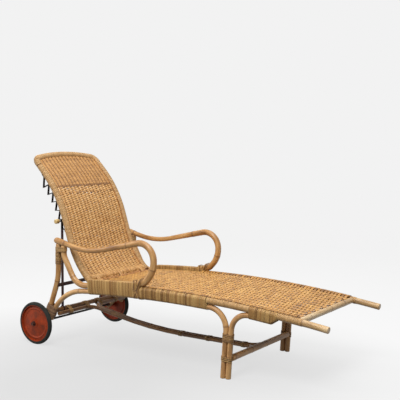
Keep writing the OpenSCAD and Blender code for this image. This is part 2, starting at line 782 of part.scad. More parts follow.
function panel_outline(s0, s1, t, n = 18) = [for (p = concat(
    [for (i = [0:n]) back_at(s0 + (s1 - s0) * i / n, t)],
    [for (i = [n:-1:0]) back_at(s0 + (s1 - s0) * i / n, -t)])) [p[0], p[2]]];

module back_panel() {
    t = back_panel_t / 2;
    n = floor((panel_w - 20) / back_row);
    u = back_dir(back_head_slope);
    a = back_at(panel_s1 - 14);
    f = asin((back_half - corner_r) / (crown_r - corner_r));
    rise = norm(back_top_at - a) - corner_r;
    top = rise + (corner_r - crown_r) * cos(f);
    rotate([90, 0, 0]) linear_extrude(panel_w, center = true)
        polygon(panel_outline(panel_s0, panel_s1, t - weave_relief / 2));
    for (i = [0:n - 1]) translate([0, (i - (n - 1) / 2) * back_row, 0]) rotate([90, 0, 0])
        linear_extrude(back_row * 0.76, center = true) polygon(panel_outline(panel_s0 + 3, panel_s1 - 3, t));
    at(a, [0, 1, 0], u, -rear(back_head_slope)) translate([0, 0, -t + 1.1]) linear_extrude(2 * t - 2.2)
        intersection() {
            translate([0, top]) circle(crown_r - back_r - knuckle - gap, $fn = 360);
            translate([-panel_w / 2, 0]) square([panel_w, rise + corner_r]);
            union() {
                translate([-panel_w / 2, 0]) square([panel_w, rise]);
                translate([-back_half + corner_r, 0]) square([2 * (back_half - corner_r), rise + corner_r]);
            }
        }
}

slat_r = 8;

module back_cross_poles() {
    for (s = [150, 330, 500]) difference() {
        translate(back_at(s, back_panel_t / 2 + gap + slat_r)) rotate([90, 0, 0])
            cylinder(h = back_width, r = slat_r, center = true);
        for (k = [-1, 1]) translate([0, k * back_half, 0])
            rod(back_at(s) - 80 * back_dir(back_angle(s)), back_at(s) + 80 * back_dir(back_angle(s)), back_r + gap);
    }
}

// Racks: one iron strip bent to teeth, nailed on at its roots
root_off = back_r + knuckle + gap + rack_t / 2;
function tip(i) = back_at(rack_start + i * tooth_pitch, tooth_reach + tooth_growth * i);
function root(i) = back_at(rack_start + i * tooth_pitch - 12, root_off);
rack_line = concat([back_at(rack_start - 26, root_off)],
    [for (i = [0:teeth - 1], k = [0:1]) k == 0 ? (i == 0 ? root(0) : root(i)) : tip(i)],
    [back_at(rack_start + teeth * tooth_pitch - 12, root_off), back_at(rack_start + teeth * tooth_pitch + 8, root_off)]);
function flat(p) = [p[0], p[2]];
function perp(v) = [-v[1], v[0]];
function mitre(l, i, w) = let (n = len(l),
    a = i == 0 ? unit(l[1] - l[0]) : unit(l[i] - l[i - 1]),
    b = i == n - 1 ? a : unit(l[i + 1] - l[i]),
    m = unit(perp(a) + perp(b)))
    l[i] + m * w / max(0.35, m * perp(a));

module rack() {
    l = [for (p = rack_line) flat(p)];
    n = len(l);
    rotate([90, 0, 0]) linear_extrude(rack_w, center = true)
        polygon(concat([for (i = [0:n - 1]) mitre(l, i, rack_t / 2)], [for (i = [n - 1:-1:0]) mitre(l, i, -rack_t / 2)]));
}

module hinge_eyes() {
    h = flat(hinge_at);
    f = flat(back_foot_at);
    a = atan2(f[1] - h[1], f[0] - h[0]);
    for (y = [-0.38 * back_width, 0, 0.38 * back_width]) translate([0, y, 0]) rotate([90, 0, 0])
        linear_extrude(18, center = true) difference() {
            union() {
                translate(h) circle(hinge_d / 2 + 5);
                translate(f) circle(cross_r + gap + 3);
                translate(h) rotate(a) translate([0, -7]) square([norm(f - h), 14]);
            }
            translate(h) circle(hinge_d / 2 + gap);
            translate(f) circle(cross_r + gap);
        }
}

// The prop swings on the rear cross stretcher and its rod hooks under a tooth
tip_dir = unit(tip(0) - tip(1));
tip_out = [tip_dir[2], 0, -tip_dir[0]] * (tip_dir[2] > 0 ? -1 : 1);
prop_at = tip(1) + prop_drop * tip_dir + prop_out * tip_out;
prop_leg_t = 5;

module prop_leg() {
    q = flat(rear_at);
    b = flat(prop_at);
    rotate([90, 0, 0]) linear_extrude(prop_leg_t, center = true) difference() {
        union() {
            translate(q) circle(cross_r + 5);
            translate(b) circle(prop_rod_d / 2 + 4);
            translate(q) rotate(atan2(b[1] - q[1], b[0] - q[0])) translate([0, -7.5]) square([norm(b - q), 15]);
        }
        translate(q) circle(cross_r + gap);
        translate(b) circle(prop_rod_d / 2 + gap / 2);
    }
}

knob_y = back_half + rack_w / 2 + 4;
knob_w = 22;

module prop_rod() {
    translate(prop_at) rotate([90, 0, 0]) cylinder(h = 2 * (knob_y + knob_w - 4), r = prop_rod_d / 2, center = true);
}

module prop_roller() {
    translate(prop_at) rotate([90, 0, 0]) difference() {
        cylinder(h = 2 * (prop_leg_y - prop_leg_t / 2 - gap), r = cross_r, center = true);
        cylinder(h = 4 * prop_leg_y, r = prop_rod_d / 2 + gap / 2, center = true);
    }
}

module prop_knob() {
    translate([0, 0, knob_y]) difference() {
        union() {
            cylinder(h = knob_w - 3, r = cross_r);
            translate([0, 0, knob_w - 3.01]) cylinder(h = 3.01, r1 = cross_r, r2 = cross_r - 3);
        }
        translate([0, 0, -1]) cylinder(h = knob_w - 3, r = prop_rod_d / 2 + gap / 2);
    }
}

module on_prop(s) {
    translate(prop_at) rotate([-90 * s, 0, 0]) children();
}

color("#d9a962") side(-1) mirror([0, 1, 0]) side_rail();  // right_side_rail
color("#d9a962") side(1) side_rail();  // left_side_rail
color("#b9823f") side(-1) lower_rail();  // right_lower_rail
color("#b9823f") side(1) lower_rail();  // left_lower_rail
color("#b9823f") side(-1) fork_pole();  // right_fork_pole
color("#b9823f") side(1) fork_pole();  // left_fork_pole
color("#dcae68") side(-1) arm();  // right_arm
color("#dcae68") side(1) arm();  // left_arm
color("#d5a45c") side(-1) rear_post();  // right_rear_post
color("#d5a45c") side(1) rear_post();  // left_rear_post
color("#e3c083") side(-1) post_lashing();  // right_post_lashing
color("#e3c083") side(1) post_lashing();  // left_post_lashing
color("#e3c083") side(-1) post_binding();  // right_post_binding
color("#e3c083") side(1) post_binding();  // left_post_binding
color("#9a6b38") side(-1) axle_block();  // right_axle_block
color("#9a6b38") side(1) axle_block();  // left_axle_block
color("#e0bb7c") side(-1) apron_wrap();  // right_apron_wrap
color("#e0bb7c") side(1) apron_wrap();  // left_apron_wrap
color("#e0bb7c") side(-1) foot_wrap();  // right_foot_wrap
color("#e0bb7c") side(1) foot_wrap();  // left_foot_wrap
color("#e3c083") side(-1) leg_lashing();  // right_leg_lashing
color("#e3c083") side(1) leg_lashing();  // left_leg_lashing
color("#e3c083") side(-1) leg_band();  // right_leg_band
color("#e3c083") side(1) leg_band();  // left_leg_band
color("#dcae68") foot_crossbar();
color("#d9a24c") seat_panel();
color("#c08c4a") seat_cross_poles();
color("#b07a3e") rear_cross_stretcher();
color("#b07a3e") front_cross_stretcher();
color("#b07a3e") mirror([0, 1, 0]) long_stretcher();  // right_long_stretcher
color("#b07a3e") long_stretcher();  // left_long_stretcher
color("#d9b47a") stretcher_bindings();
color("#3a2c38") rear_brace_bar();
color("#2f2d2c") axle();
color("#8c8f90") axle_collars();
color("#2f2d2c") hinge_rod();
color("#d9a962") translate([0, -back_half, 0]) back_rail();  // right_back_rail
color("#d9a962") translate([0, back_half, 0]) back_rail();  // left_back_rail
color("#d9a962") back_top_pole();
color("#c08c4a") back_bottom_pole();
color("#c08c4a") back_cross_poles();
color("#dcab5c") back_panel();
color("#24211f") translate([0, -back_half, 0]) rack();  // right_rack
color("#24211f") translate([0, back_half, 0]) rack();  // left_rack
color("#24211f") hinge_eyes();
color("#4a2a20") translate([0, -prop_leg_y, 0]) prop_leg();  // right_prop_leg
color("#4a2a20") translate([0, prop_leg_y, 0]) prop_leg();  // left_prop_leg
color("#24211f") prop_rod();
color("#dcae68") prop_roller();
color("#e6cf9b") on_prop(-1) prop_knob();  // right_prop_knob
color("#e6cf9b") on_prop(1) prop_knob();  // left_prop_knob
color("#b5402a") on_wheel(-1) wheel_disc();  // right_wheel_disc
color("#2b2d2a") on_wheel(-1) wheel_tyre();  // right_wheel_tyre
color("#8f3526") on_wheel(-1) wheel_hub();  // right_wheel_hub
color("#b5402a") on_wheel(1) wheel_disc();  // left_wheel_disc
color("#2b2d2a") on_wheel(1) wheel_tyre();  // left_wheel_tyre
color("#8f3526") on_wheel(1) wheel_hub();  // left_wheel_hub
color("#8c8f90") hub_nuts();
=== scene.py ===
import bpy
import numpy as np
from mathutils import Matrix


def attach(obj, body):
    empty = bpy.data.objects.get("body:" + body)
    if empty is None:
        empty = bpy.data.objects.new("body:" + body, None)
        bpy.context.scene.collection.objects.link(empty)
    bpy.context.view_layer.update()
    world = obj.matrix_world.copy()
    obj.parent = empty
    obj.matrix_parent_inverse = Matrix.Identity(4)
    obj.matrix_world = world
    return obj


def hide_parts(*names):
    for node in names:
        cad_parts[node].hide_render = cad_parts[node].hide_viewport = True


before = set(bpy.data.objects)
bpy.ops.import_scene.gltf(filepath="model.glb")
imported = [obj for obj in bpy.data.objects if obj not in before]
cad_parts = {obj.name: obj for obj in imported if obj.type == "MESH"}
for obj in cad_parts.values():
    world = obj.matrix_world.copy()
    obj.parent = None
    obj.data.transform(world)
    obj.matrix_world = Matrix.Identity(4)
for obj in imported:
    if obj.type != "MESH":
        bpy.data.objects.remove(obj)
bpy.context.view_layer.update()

scene = bpy.context.scene
mm = 0.001

# the photo's camera, fitted to the wheels, the feet and the rails
camera = {"place": (2400.35, -3509.98, 1135.24), "azimuth": 33.7278, "elevation": 4.1225, "lens": 71.62,
          "sensor": 36.0, "farthest": 60.0}


def addObject(name, data):
    thing = bpy.data.objects.new(name, data)
    scene.collection.objects.link(thing)
    return thing


def facing(place, right, up, back):
    # an object's matrix, from its place in metres and its axes
    return Matrix.Translation(place) @ Matrix(np.column_stack([right, up, back]).tolist()).to_4x4()


def placeCamera():
    azimuth, elevation = np.radians([camera["azimuth"], camera["elevation"]])
    level = np.cos(elevation)
    back = np.array([np.sin(azimuth) * level, -np.cos(azimuth) * level, np.sin(elevation)])
    right = np.array([np.cos(azimuth), np.sin(azimuth), 0.0])
    lens = bpy.data.cameras.new("viewCamera")
    lens.lens = camera["lens"]
    lens.sensor_width = camera["sensor"]
    lens.clip_end = camera["farthest"]
    scene.camera = addObject("viewCamera", lens)
    scene.camera.matrix_world = facing(np.array(camera["place"]) * mm, right, np.cross(back, right), back)


placeCamera()


def linear(hexColour):
    # sRGB to linear light
    c = np.array([int(hexColour[i:i + 2], 16) for i in (1, 3, 5)]) / 255.0
    return tuple(np.where(c <= 0.04045, c / 12.92, ((c + 0.055) / 1.055) ** 2.4)) + (1.0,)


def addNode(tree, kind, settings=None, links=None):
    node = tree.nodes.new("ShaderNode" + kind)
    for key, value in (settings or {}).items():
        if isinstance(key, str) and hasattr(node, key):
            setattr(node, key, value)
        else:
            node.inputs[key].default_value = value
    for key, source in (links or {}).items():
        tree.links.new(source, node.inputs[key])
    return node


def meshAttribute(tree, name, output):
    return addNode(tree, "Attribute", {"attribute_name": name}).outputs[output]


def noise(tree, source, scale, detail, roughness=0.5):
    settings = {"Scale": scale, "Detail": detail, "Roughness": roughness}
    return addNode(tree, "TexNoise", settings, {"Vector": source}).outputs[0]


def stretched(tree, source, scale):
    return addNode(tree, "Mapping", {"Scale": scale}, {0: source}).outputs[0]


def weighted(tree, first, share, second, levels):
    # first * share + second, brought to 0 at levels[0] and 1 at levels[1]
    settings = {"operation": "MULTIPLY_ADD", 1: share}
    both = addNode(tree, "Math", settings, {0: first, 2: second}).outputs[0]
    return addNode(tree, "MapRange", {1: levels[0], 2: levels[1]}, {0: both}).outputs[0]


def ramp(tree, source, stops):
    node = addNode(tree, "ValToRGB", links={0: source})
    bar = node.color_ramp
    while len(bar.elements) < len(stops):
        bar.elements.new(0.5)
    for element, (place, colour) in zip(bar.elements, stops):
        element.position = place
        element.color = linear(colour)
    return node.outputs[0]


def multiplied(tree, factor, first, second):
    # each of the three is a socket or a plain value
    node = addNode(tree, "Mix", {"data_type": "RGBA", "blend_type": "MULTIPLY"})
    for socket, value in ((node.inputs[0], factor), (node.inputs[6], first), (node.inputs[7], second)):
        if hasattr(value, "links"):
            tree.links.new(value, socket)
        else:
            socket.default_value = value
    return node.outputs[2]


def freshTree(owner):
    owner.use_nodes = True
    owner.node_tree.nodes.clear()
    return owner.node_tree


def startMaterial(name, shader):
    material = bpy.data.materials.new(name)
    tree = freshTree(material)
    surface = addNode(tree, "BsdfPrincipled", shader)
    addNode(tree, "OutputMaterial", links={0: surface.outputs[0]})
    return material, tree, surface


def finishMaterial(tree, surface, colour, height, strength, depth):
    bump = addNode(tree, "Bump", {"Strength": strength, "Distance": depth}, {"Height": height})
    tree.links.new(colour, surface.inputs["Base Color"])
    tree.links.new(bump.outputs[0], surface.inputs["Normal"])


def varnish(roughness, coat):
    return {"Roughness": roughness, "IOR": 1.47, "Coat Weight": coat, "Coat Roughness": 0.3}


# cells of noise per metre: a fibre's are 71 mm long and 2.4 mm wide
wood = {"coat": 0.16, "fibre": (14.0, 420.0, 420.0), "patch": (7.0, 30.0, 30.0), "fibreShare": 0.45,
        "levels": (0.5, 0.98), "mid": 0.42, "light": 0.8, "knot": "#7d5028", "relief": (0.22, 0.0006)}


def woodPole(name, light, mid, dark, roughness, ownGrain=True):
    # peeled rattan under old varnish, with dark rings at its knots
    material, tree, surface = startMaterial(name, varnish(roughness, wood["coat"]))
    fine, broad = wood["fibre"], wood["patch"]
    if ownGrain:
        grain = meshAttribute(tree, "grain", "Vector")
        knot = meshAttribute(tree, "knot", "Fac")
    else:
        # a solid of the frame: its poles run across, so the fibres follow Y
        grain = addNode(tree, "TexCoord").outputs["Object"]
        knot = 0.0
        fine, broad = ((cells[1], cells[0], cells[2]) for cells in (fine, broad))
    fibre = noise(tree, stretched(tree, grain, fine), 1.0, 5.0, 0.62)
    patch = noise(tree, stretched(tree, grain, broad), 1.0, 4.0, 0.6)
    level = weighted(tree, fibre, wood["fibreShare"], patch, wood["levels"])
    body = ramp(tree, level, [(0.0, dark), (wood["mid"], mid), (wood["light"], light)])
    colour = multiplied(tree, knot, body, linear(wood["knot"]))
    finishMaterial(tree, surface, colour, fibre, *wood["relief"])
    return material


# fibres 33 mm long and 1.1 mm wide
cane = {"coat": 0.08, "fibre": (30.0, 900.0, 900.0), "fibreShare": 0.35, "levels": (0.1, 1.2), "mid": 0.45,
        "relief": (0.15, 0.0004)}


def caneStrand(name, light, mid, dark, roughness=0.5):
    # split cane: each strand has its own tone, and fine fibres run along it
    material, tree, surface = startMaterial(name, varnish(roughness, cane["coat"]))
    grain = meshAttribute(tree, "grain", "Vector")
    tone = meshAttribute(tree, "tone", "Fac")
    fibre = noise(tree, stretched(tree, grain, cane["fibre"]), 1.0, 3.0, 0.6)
    level = weighted(tree, fibre, cane["fibreShare"], tone, cane["levels"])
    colour = ramp(tree, level, [(0.0, dark), (cane["mid"], mid), (1.0, light)])
    finishMaterial(tree, surface, colour, fibre, *cane["relief"])
    return material


worn = {"stops": (0.38, 0.55, 0.72), "dust": [(0.3, "#8c8c8c"), (0.6, "#ffffff")], "dustShare": 0.35}


def wornMetal(name, clean, stain, grime, roughness, metal, spotSize, relief):
    # metal, enamel or rubber: stains in patches of about spotSize metres, with finer dust
    shader = {"Roughness": roughness, "Metallic": metal, "Specular IOR Level": 0.3}
    material, tree, surface = startMaterial(name, shader)
    place = addNode(tree, "TexCoord").outputs["Object"]
    patch = noise(tree, place, 1.0 / spotSize, 6.0, 0.65)
    fine = noise(tree, place, 6.0 / spotSize, 4.0)
    body = ramp(tree, patch, list(zip(worn["stops"], (clean, stain, grime))))
    colour = multiplied(tree, worn["dustShare"], body, ramp(tree, fine, worn["dust"]))
    finishMaterial(tree, surface, colour, fine, relief, 0.0008)
    return material


materials = {
    "honey": woodPole("varnished_rattan", "#d0a56c", "#b4834a", "#7e5329", 0.4),
    "pale": woodPole("bare_rattan_handle", "#dcc096", "#c5a06c", "#957044", 0.45),
    "brown": woodPole("aged_rattan", "#dbad71", "#ba8953", "#79522a", 0.48),
    "dark": woodPole("smoked_rattan", "#a97a46", "#7c532b", "#432b14", 0.52),
    "crossPole": woodPole("plain_cross_pole", "#b98f5e", "#976b3e", "#64411f", 0.5, ownGrain=False),
    "knob": woodPole("turned_pale_wood", "#e6cf9b", "#cfae70", "#a58150", 0.45, ownGrain=False),
    "weave": caneStrand("woven_split_cane", "#d8a85e", "#ba8541", "#56320f"),
    "back": caneStrand("woven_back_cane", "#dfb376", "#c08d4f", "#6c421a"),
    "wrap": caneStrand("wound_pale_cane", "#d0ab6c", "#a67a42", "#54340f"),
    "smoothWrap": caneStrand("tight_cane_wrap", "#cca572", "#b28954", "#805a31"),
    "binding": caneStrand("wound_dull_cane", "#c09a5e", "#946c3a", "#543719"),
    "pad": caneStrand("dusty_wrapped_pad", "#a5805c", "#7d5c40", "#4d3626", 0.7),
    "braid": caneStrand("braided_brown_cane", "#cc9659", "#a87239", "#70441e"),
    # a dark sheet under windings and ties: painted shade in the gaps between the turns
    "shade": caneStrand("painted_shade_under_layer", "#5e3c1e", "#4a2e16", "#33200f", 0.8),
    "iron": wornMetal("black_forged_iron", "#191615", "#241d1a", "#3a2a20", 0.55, 0.7, 0.02, 0.3),
    "brownIron": wornMetal("brown_flat_iron", "#33202a", "#43281f", "#55382a", 0.6, 0.5, 0.03, 0.25),
    "redPaint": wornMetal("worn_red_enamel", "#a93f17", "#903511", "#60270f", 0.55, 0.0, 0.05, 0.12),
    "steel": wornMetal("rusty_steel", "#5c4038", "#503028", "#3a241c", 0.6, 0.5, 0.015, 0.2),
    "rubber": wornMetal("dusty_rubber", "#20221f", "#2a2c28", "#3c3c35", 0.85, 0.0, 0.03, 0.3),
}
print("materials made")


def makePiece(name, part, finish, body, slot="cane_wrap", *replaced):
    # a part is its points in mm, its faces as index arrays and {attribute: array}
    points, faces, values = part
    mesh = bpy.data.meshes.new(name)
    loops = np.concatenate([f.ravel() for f in faces]).astype(np.int32)
    sizes = np.concatenate([np.full(len(f), f.shape[1]) for f in faces]).astype(np.int32)
    starts = np.concatenate([[0], np.cumsum(sizes)[:-1]]).astype(np.int32)
    mesh.vertices.add(len(points))
    mesh.vertices.foreach_set("co", (points * mm).astype(np.float32).ravel())
    mesh.loops.add(len(loops))
    mesh.loops.foreach_set("vertex_index", loops)
    mesh.polygons.add(len(sizes))
    mesh.polygons.foreach_set("loop_start", starts)
    mesh.polygons.foreach_set("use_smooth", sizes == 4)
    mesh.update(calc_edges=True)
    for key, value in values.items():
        kind, field = ("FLOAT_VECTOR", "vector") if np.ndim(value) == 2 else ("FLOAT", "value")
        data = mesh.attributes.new(key, kind, "POINT").data
        data.foreach_set(field, np.asarray(value, np.float32).ravel())
    mesh.materials.append(materials[finish])
    piece = addObject(name, mesh)
    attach(piece, body)
    if replaced:
        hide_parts(*replaced)


def mirrored(part):
    # y becomes -y and each face turns round
    points, faces, values = part
    return points * [1, -1, 1], [f[:, ::-1] for f in faces], values


def paired(name, part, finish, body, node=None, slot="cane_wrap", y=0.0):
    # a part at y on the left and its mirror image on the right, each in place of its side's node
    left = (part[0] + y * yAxis, *part[1:])
    for side, one in (("left", left), ("right", mirrored(left))):
        replaced = [f"{side}_{node}"] if node else []
        makePiece(f"{side}_{name}", one, finish, body, slot, *replaced)


def joined(parts):
    points, faces, values, start = [], [], {}, 0
    for p, f, v in parts:
        points.append(p)
        faces += [x + start for x in f]
        for key, value in v.items():
            values.setdefault(key, []).append(value)
        start += len(p)
    return np.vstack(points), faces, {key: np.concatenate(value) for key, value in values.items()}


def unit(v):
    return v / np.linalg.norm(v, axis=-1, keepdims=True)


def lengthAlong(path):
    # up to each point of a path, or of several
    steps = np.linalg.norm(np.diff(path, axis=-2), axis=-1)
    return np.concatenate([np.zeros_like(steps[..., :1]), np.cumsum(steps, axis=-1)], -1)


def valuesAt(places, s, values):
    return np.column_stack([np.interp(places, s, values[:, k]) for k in range(3)])


def resample(path, step):
    s = lengthAlong(path)
    return valuesAt(np.linspace(0, s[-1], max(2, int(round(s[-1] / step)) + 1)), s, path)


def bentPath(corners, radii, degreesApart=2.5):
    # straight runs joined by round bends of these radii
    p = np.array(corners, float)
    d = unit(np.diff(p, axis=0))
    rows = [p[:1]]
    for i, r in enumerate(radii, 1):
        turn = np.arccos(np.clip(d[i - 1] @ d[i], -1, 1))
        inward = unit(d[i] - d[i - 1])
        centre = p[i] + inward * r / np.cos(turn / 2)
        a = np.linspace(-turn / 2, turn / 2, max(5, int(np.degrees(turn) / degreesApart)))[:, None]
        rows.append(centre - r * (np.cos(a) * inward + np.sin(a) * -unit(d[i] + d[i - 1])))
    return np.vstack(rows + [p[-1:]])


yAxis = np.array([0.0, 1.0, 0.0])
railBow = {"radius": 6600.0, "crownX": -30.0, "crownZ": 378.0}


def bowPath(x0, x1, off=0.0, step=8.0):
    x = np.linspace(x0, x1, max(2, int(abs(x1 - x0) / step) + 1))
    r = railBow["radius"]
    z = railBow["crownZ"] - r + np.sqrt((r + off) ** 2 - (x - railBow["crownX"]) ** 2)
    return np.column_stack([x, 0 * x, z])


def bowUp(x):
    t = np.arcsin((x - railBow["crownX"]) / railBow["radius"])
    return np.stack([np.sin(t), 0 * t, np.cos(t)], -1)


def smoothNoise(rng, n, every):
    v = rng.uniform(-1, 1, max(2, int(np.ceil(n / every)) + 2))
    t = np.arange(n) / every
    i = t.astype(int)
    f = (1 - np.cos(np.pi * (t - i))) / 2
    return v[i] * (1 - f) + v[i + 1] * f


def ringFaces(rings, sides):
    # quads between neighbouring rings of points, and a cap at either end
    i, j = np.meshgrid(np.arange(rings - 1), np.arange(sides), indexing="ij")
    k = (j + 1) % sides
    quads = np.stack([i * sides + j, i * sides + k, (i + 1) * sides + k, (i + 1) * sides + j], -1)
    around = np.arange(sides)
    return [quads.reshape(-1, 4), around[::-1][None], ((rings - 1) * sides + around)[None]]


# bevel and drawnIn shape a pole's ends, clear keeps its knots off them, bell and line are a knot's widths
pole = {"bevel": 1.4, "drawnIn": 1.6, "clear": 12, "bell": 7.0, "line": 3.2, "lineDark": 0.75,
        "uneven": 0.012, "unevenEvery": 14, "inset": 0.2, "grainApart": 1.37}


def tube(path, width, seed, ref=(0, 1, 0), sides=28, step=5.0, knotGap=230.0, swell=0.9):
    # a circle carried along the path, which swells by a bell at each knot. width is one radius, or lengths
    # along the path and the radii there; ref is a direction across it
    rng = np.random.default_rng(seed)
    bevel = pole["bevel"]
    p = resample(np.asarray(path, float), step)
    s = lengthAlong(p)
    second, lastButOne = p[:1] + unit(p[1] - p[0]) * bevel, p[-1:] - unit(p[-1] - p[-2]) * bevel
    p = np.vstack([p[:1], second, p[1:-1], lastButOne, p[-1:]])
    s = np.concatenate([[0.0, bevel], s[1:-1], [s[-1] - bevel, s[-1]]])
    t = unit(np.gradient(p, axis=0))
    sideways = np.asarray(ref, float)
    n = unit(sideways - (t @ sideways)[:, None] * t)
    b = np.cross(t, n)
    spacing = rng.uniform(0.65, 1.35, int(s[-1] / knotGap) + 3) * knotGap
    knots = np.cumsum(spacing) - knotGap * rng.uniform(0.2, 0.8)
    knots = knots[(knots > pole["clear"]) & (knots < s[-1] - pole["clear"])]
    away = np.abs(s[:, None] - knots)
    bell = np.exp(-(away / pole["bell"]) ** 2).sum(1)
    line = np.exp(-(away / pole["line"]) ** 2).sum(1)
    radius = np.interp(s, *width) if isinstance(width, tuple) else width
    uneven = 1 + pole["uneven"] * smoothNoise(rng, len(s), pole["unevenEvery"])
    r = radius * uneven + swell * bell - pole["inset"]
    r[[0, -1]] -= pole["drawnIn"]
    a = np.linspace(0, 2 * np.pi, sides, endpoint=False)
    outward = np.cos(a)[:, None] * n[:, None] + np.sin(a)[:, None] * b[:, None]
    points = (p[:, None] + r[:, None, None] * outward).reshape(-1, 3)
    grain = np.stack([np.repeat(s[:, None], sides, 1) * mm + seed * pole["grainApart"],
                      np.cos(a) * r[:, None] * mm, np.sin(a) * r[:, None] * mm], -1)
    knot = np.repeat(np.clip(line, 0, 1) * pole["lineDark"], sides)
    return points, ringFaces(len(s), sides), {"grain": grain.reshape(-1, 3), "knot": knot}


# a strand's sections, as (across, outward) shares of its width and thickness
strandSection = np.array([[-0.5, -0.4], [-0.46, 0.2], [-0.2, 0.5], [0.2, 0.5], [0.46, 0.2], [0.5, -0.4]])
flatSection = np.array([[-0.5, -0.4], [-0.42, 0.3], [0.0, 0.5], [0.42, 0.3], [0.5, -0.4]])
eighths = np.linspace(0, 2 * np.pi, 9)[:-1]
roundSection = np.column_stack([np.sin(eighths), np.cos(eighths)]) * 0.5
# how far neighbouring strands lie apart in the grain
grainApart = (0.731, 0.0171)


def strands(lines, normals, width, thick, tones, seed, section=strandSection):
    # lines (strands, samples, 3): each carries the section's points (a, b) as p + a*width*B + b*thick*N
    p = np.asarray(lines, float)
    t = unit(np.gradient(p, axis=1))
    n = unit(normals - (t * normals).sum(-1, keepdims=True) * t)
    b = np.cross(t, n)
    count, m = p.shape[:2]
    c = len(section)
    w = np.broadcast_to(width, (count, m))[..., None, None]
    sideways = section[:, :1] * w * b[:, :, None]
    outward = section[:, 1:] * thick * n[:, :, None]
    points = p[:, :, None] + sideways + outward
    q, i, j = np.meshgrid(np.arange(count), np.arange(m - 1), np.arange(c), indexing="ij")
    k = (j + 1) % c
    start = q * m * c + i * c
    quads = np.stack([start + j, start + c + j, start + c + k, start + k], -1).reshape(-1, 4)
    first = (np.arange(count) * m * c)[:, None] + np.arange(c)
    last = first + (m - 1) * c
    which = np.arange(count)[:, None, None]
    along = lengthAlong(p)[..., None] * mm + which * grainApart[0] + seed
    across = section[:, 0] * w[..., 0] * mm
    grain = np.stack(np.broadcast_arrays(along, across, which * grainApart[1]), -1)
    tone = np.broadcast_to(tones[..., None], (count, m, c))
    faces = [quads, first, last[:, ::-1]]
    return points.reshape(-1, 3), faces, {"grain": grain.reshape(-1, 3), "tone": tone.ravel()}


def sidePole(name, path, width, seed, finish, node, slot, **look):
    paired(name, tube(path, width, seed, **look), finish, "frame", node, slot, rail["y"])


# the rail's bow with its bare handle and the bend up to the arm overlap behind the apron
rail = {"radius": 16.0, "y": 306.0, "handleEnd": 947.6, "turnX": -485.0, "handleStart": 20, "bendStart": 26,
        "corners": [(-485, 0, 362.298), (-550.396, 0, 357.779), (-640, 0, 512.978), (-640, 0, 569.5)],
        "bends": [105, 60]}
handle = bowPath(rail["handleEnd"], rail["turnX"] + rail["handleStart"])
sidePole("rail", handle, rail["radius"], 3, "pale", "side_rail", "pale_rattan", knotGap=310)
bend = np.vstack([bowPath(rail["turnX"] + rail["bendStart"], rail["turnX"])[:-1],
                  bentPath(rail["corners"], rail["bends"])])
sidePole("rail_bend", bend, rail["radius"], 4, "honey", None, "pale_rattan", knotGap=170)

lower = {"radius": 14.0, "off": -30.9, "legX": 318.3, "archX": -511,
         "leg": [(318.28, 0, 337.86), (419.272, 0, 332.499), (395, 0, 0)], "legBend": 99.15,
         "arch": [(-511, 0, 329.467), (-678.421, 0, 317.175), (-743.002, 0, 147.156)], "archBend": 263.5}
lowerLine = np.vstack([bentPath(lower["leg"], [lower["legBend"]])[::-1][:-1],
                       bowPath(lower["legX"], lower["archX"], lower["off"])[:-1],
                       bentPath(lower["arch"], [lower["archBend"]])])
sidePole("arch_pole", lowerLine, lower["radius"], 5, "brown", "lower_rail", "aged_rattan", knotGap=260)

fork = {"radius": 14.0, "corners": [(423.977, 0, 0), (448.09, 0, 330.314), (538.951, 0, 322.415)],
        "bend": 89.95, "tailStart": 538.95, "tailEnd": 658.95}
forkLine = np.vstack([bentPath(fork["corners"], [fork["bend"]])[:-1],
                      bowPath(fork["tailStart"], fork["tailEnd"], lower["off"])])
sidePole("fork", forkLine, fork["radius"], 8, "brown", "fork_pole", "aged_rattan", knotGap=240)

# the arm is thicker round its front loop, and its pared end lies on the rail under the wrapping
arm = {"bends": [500, 88, 130, 50], "tailOff": 25.5, "scarfEnd": -172.0, "tailEnd": -452.0,
       "corners": [(-706, 0, 598), (-468, 0, 544), (-22, 0, 641), (-22, 0, 476),
                   (-86, 0, 411.664), (-106.6, 0, 411.6)]}
armLine = bentPath(arm["corners"], arm["bends"])
loopLength = lengthAlong(armLine)[-1]
armLine = np.vstack([armLine, bowPath(arm["scarfEnd"], arm["tailEnd"], arm["tailOff"])])
arm["radii"] = ((0, 4, 10, 18, 48, 95, 350, 590, loopLength, loopLength + 66, 3000),
                (9.0, 13.5, 16.6, 18.0, 17.4, 14.4, 14.0, 17.2, 17.2, 9.0, 9.0))
sidePole("armrest", armLine, arm["radii"], 12, "honey", "arm", "pale_rattan", knotGap=340, step=4)

post = {"radius": 15.0, "bends": [90, 300],
        "corners": [(-847.552, 0, 103.632), (-759.79, 0, 185.472), (-684, 0, 385), (-680.3, 0, 576.5)]}
postLine = bentPath(post["corners"], post["bends"])
sidePole("post", postLine, post["radius"], 17, "honey", "rear_post", "pale_rattan", knotGap=200, step=4)

# middle, half length, radius, finish, node and slot
crossPoles = {"rear_rung": ((-727, 0, 195), 287.9, 13.0, "dark", "rear_cross_stretcher", "aged_rattan"),
              "front_rung": ((431.2, 0, 99), 288.9, 16.0, "brown", "front_cross_stretcher", "aged_rattan"),
              "foot_bar": ((799.62, 0, 325.6), 289.0, 15.0, "pale", "foot_crossbar", "pale_rattan")}
for seed, (name, (middle, half, radius, finish, node, slot)) in enumerate(crossPoles.items(), 21):
    line = np.array([[-half], [half]]) * yAxis + middle
    part = tube(line, radius, seed, ref=(0, 0, 1), knotGap=210)
    makePiece(name, part, finish, "frame", slot, node)

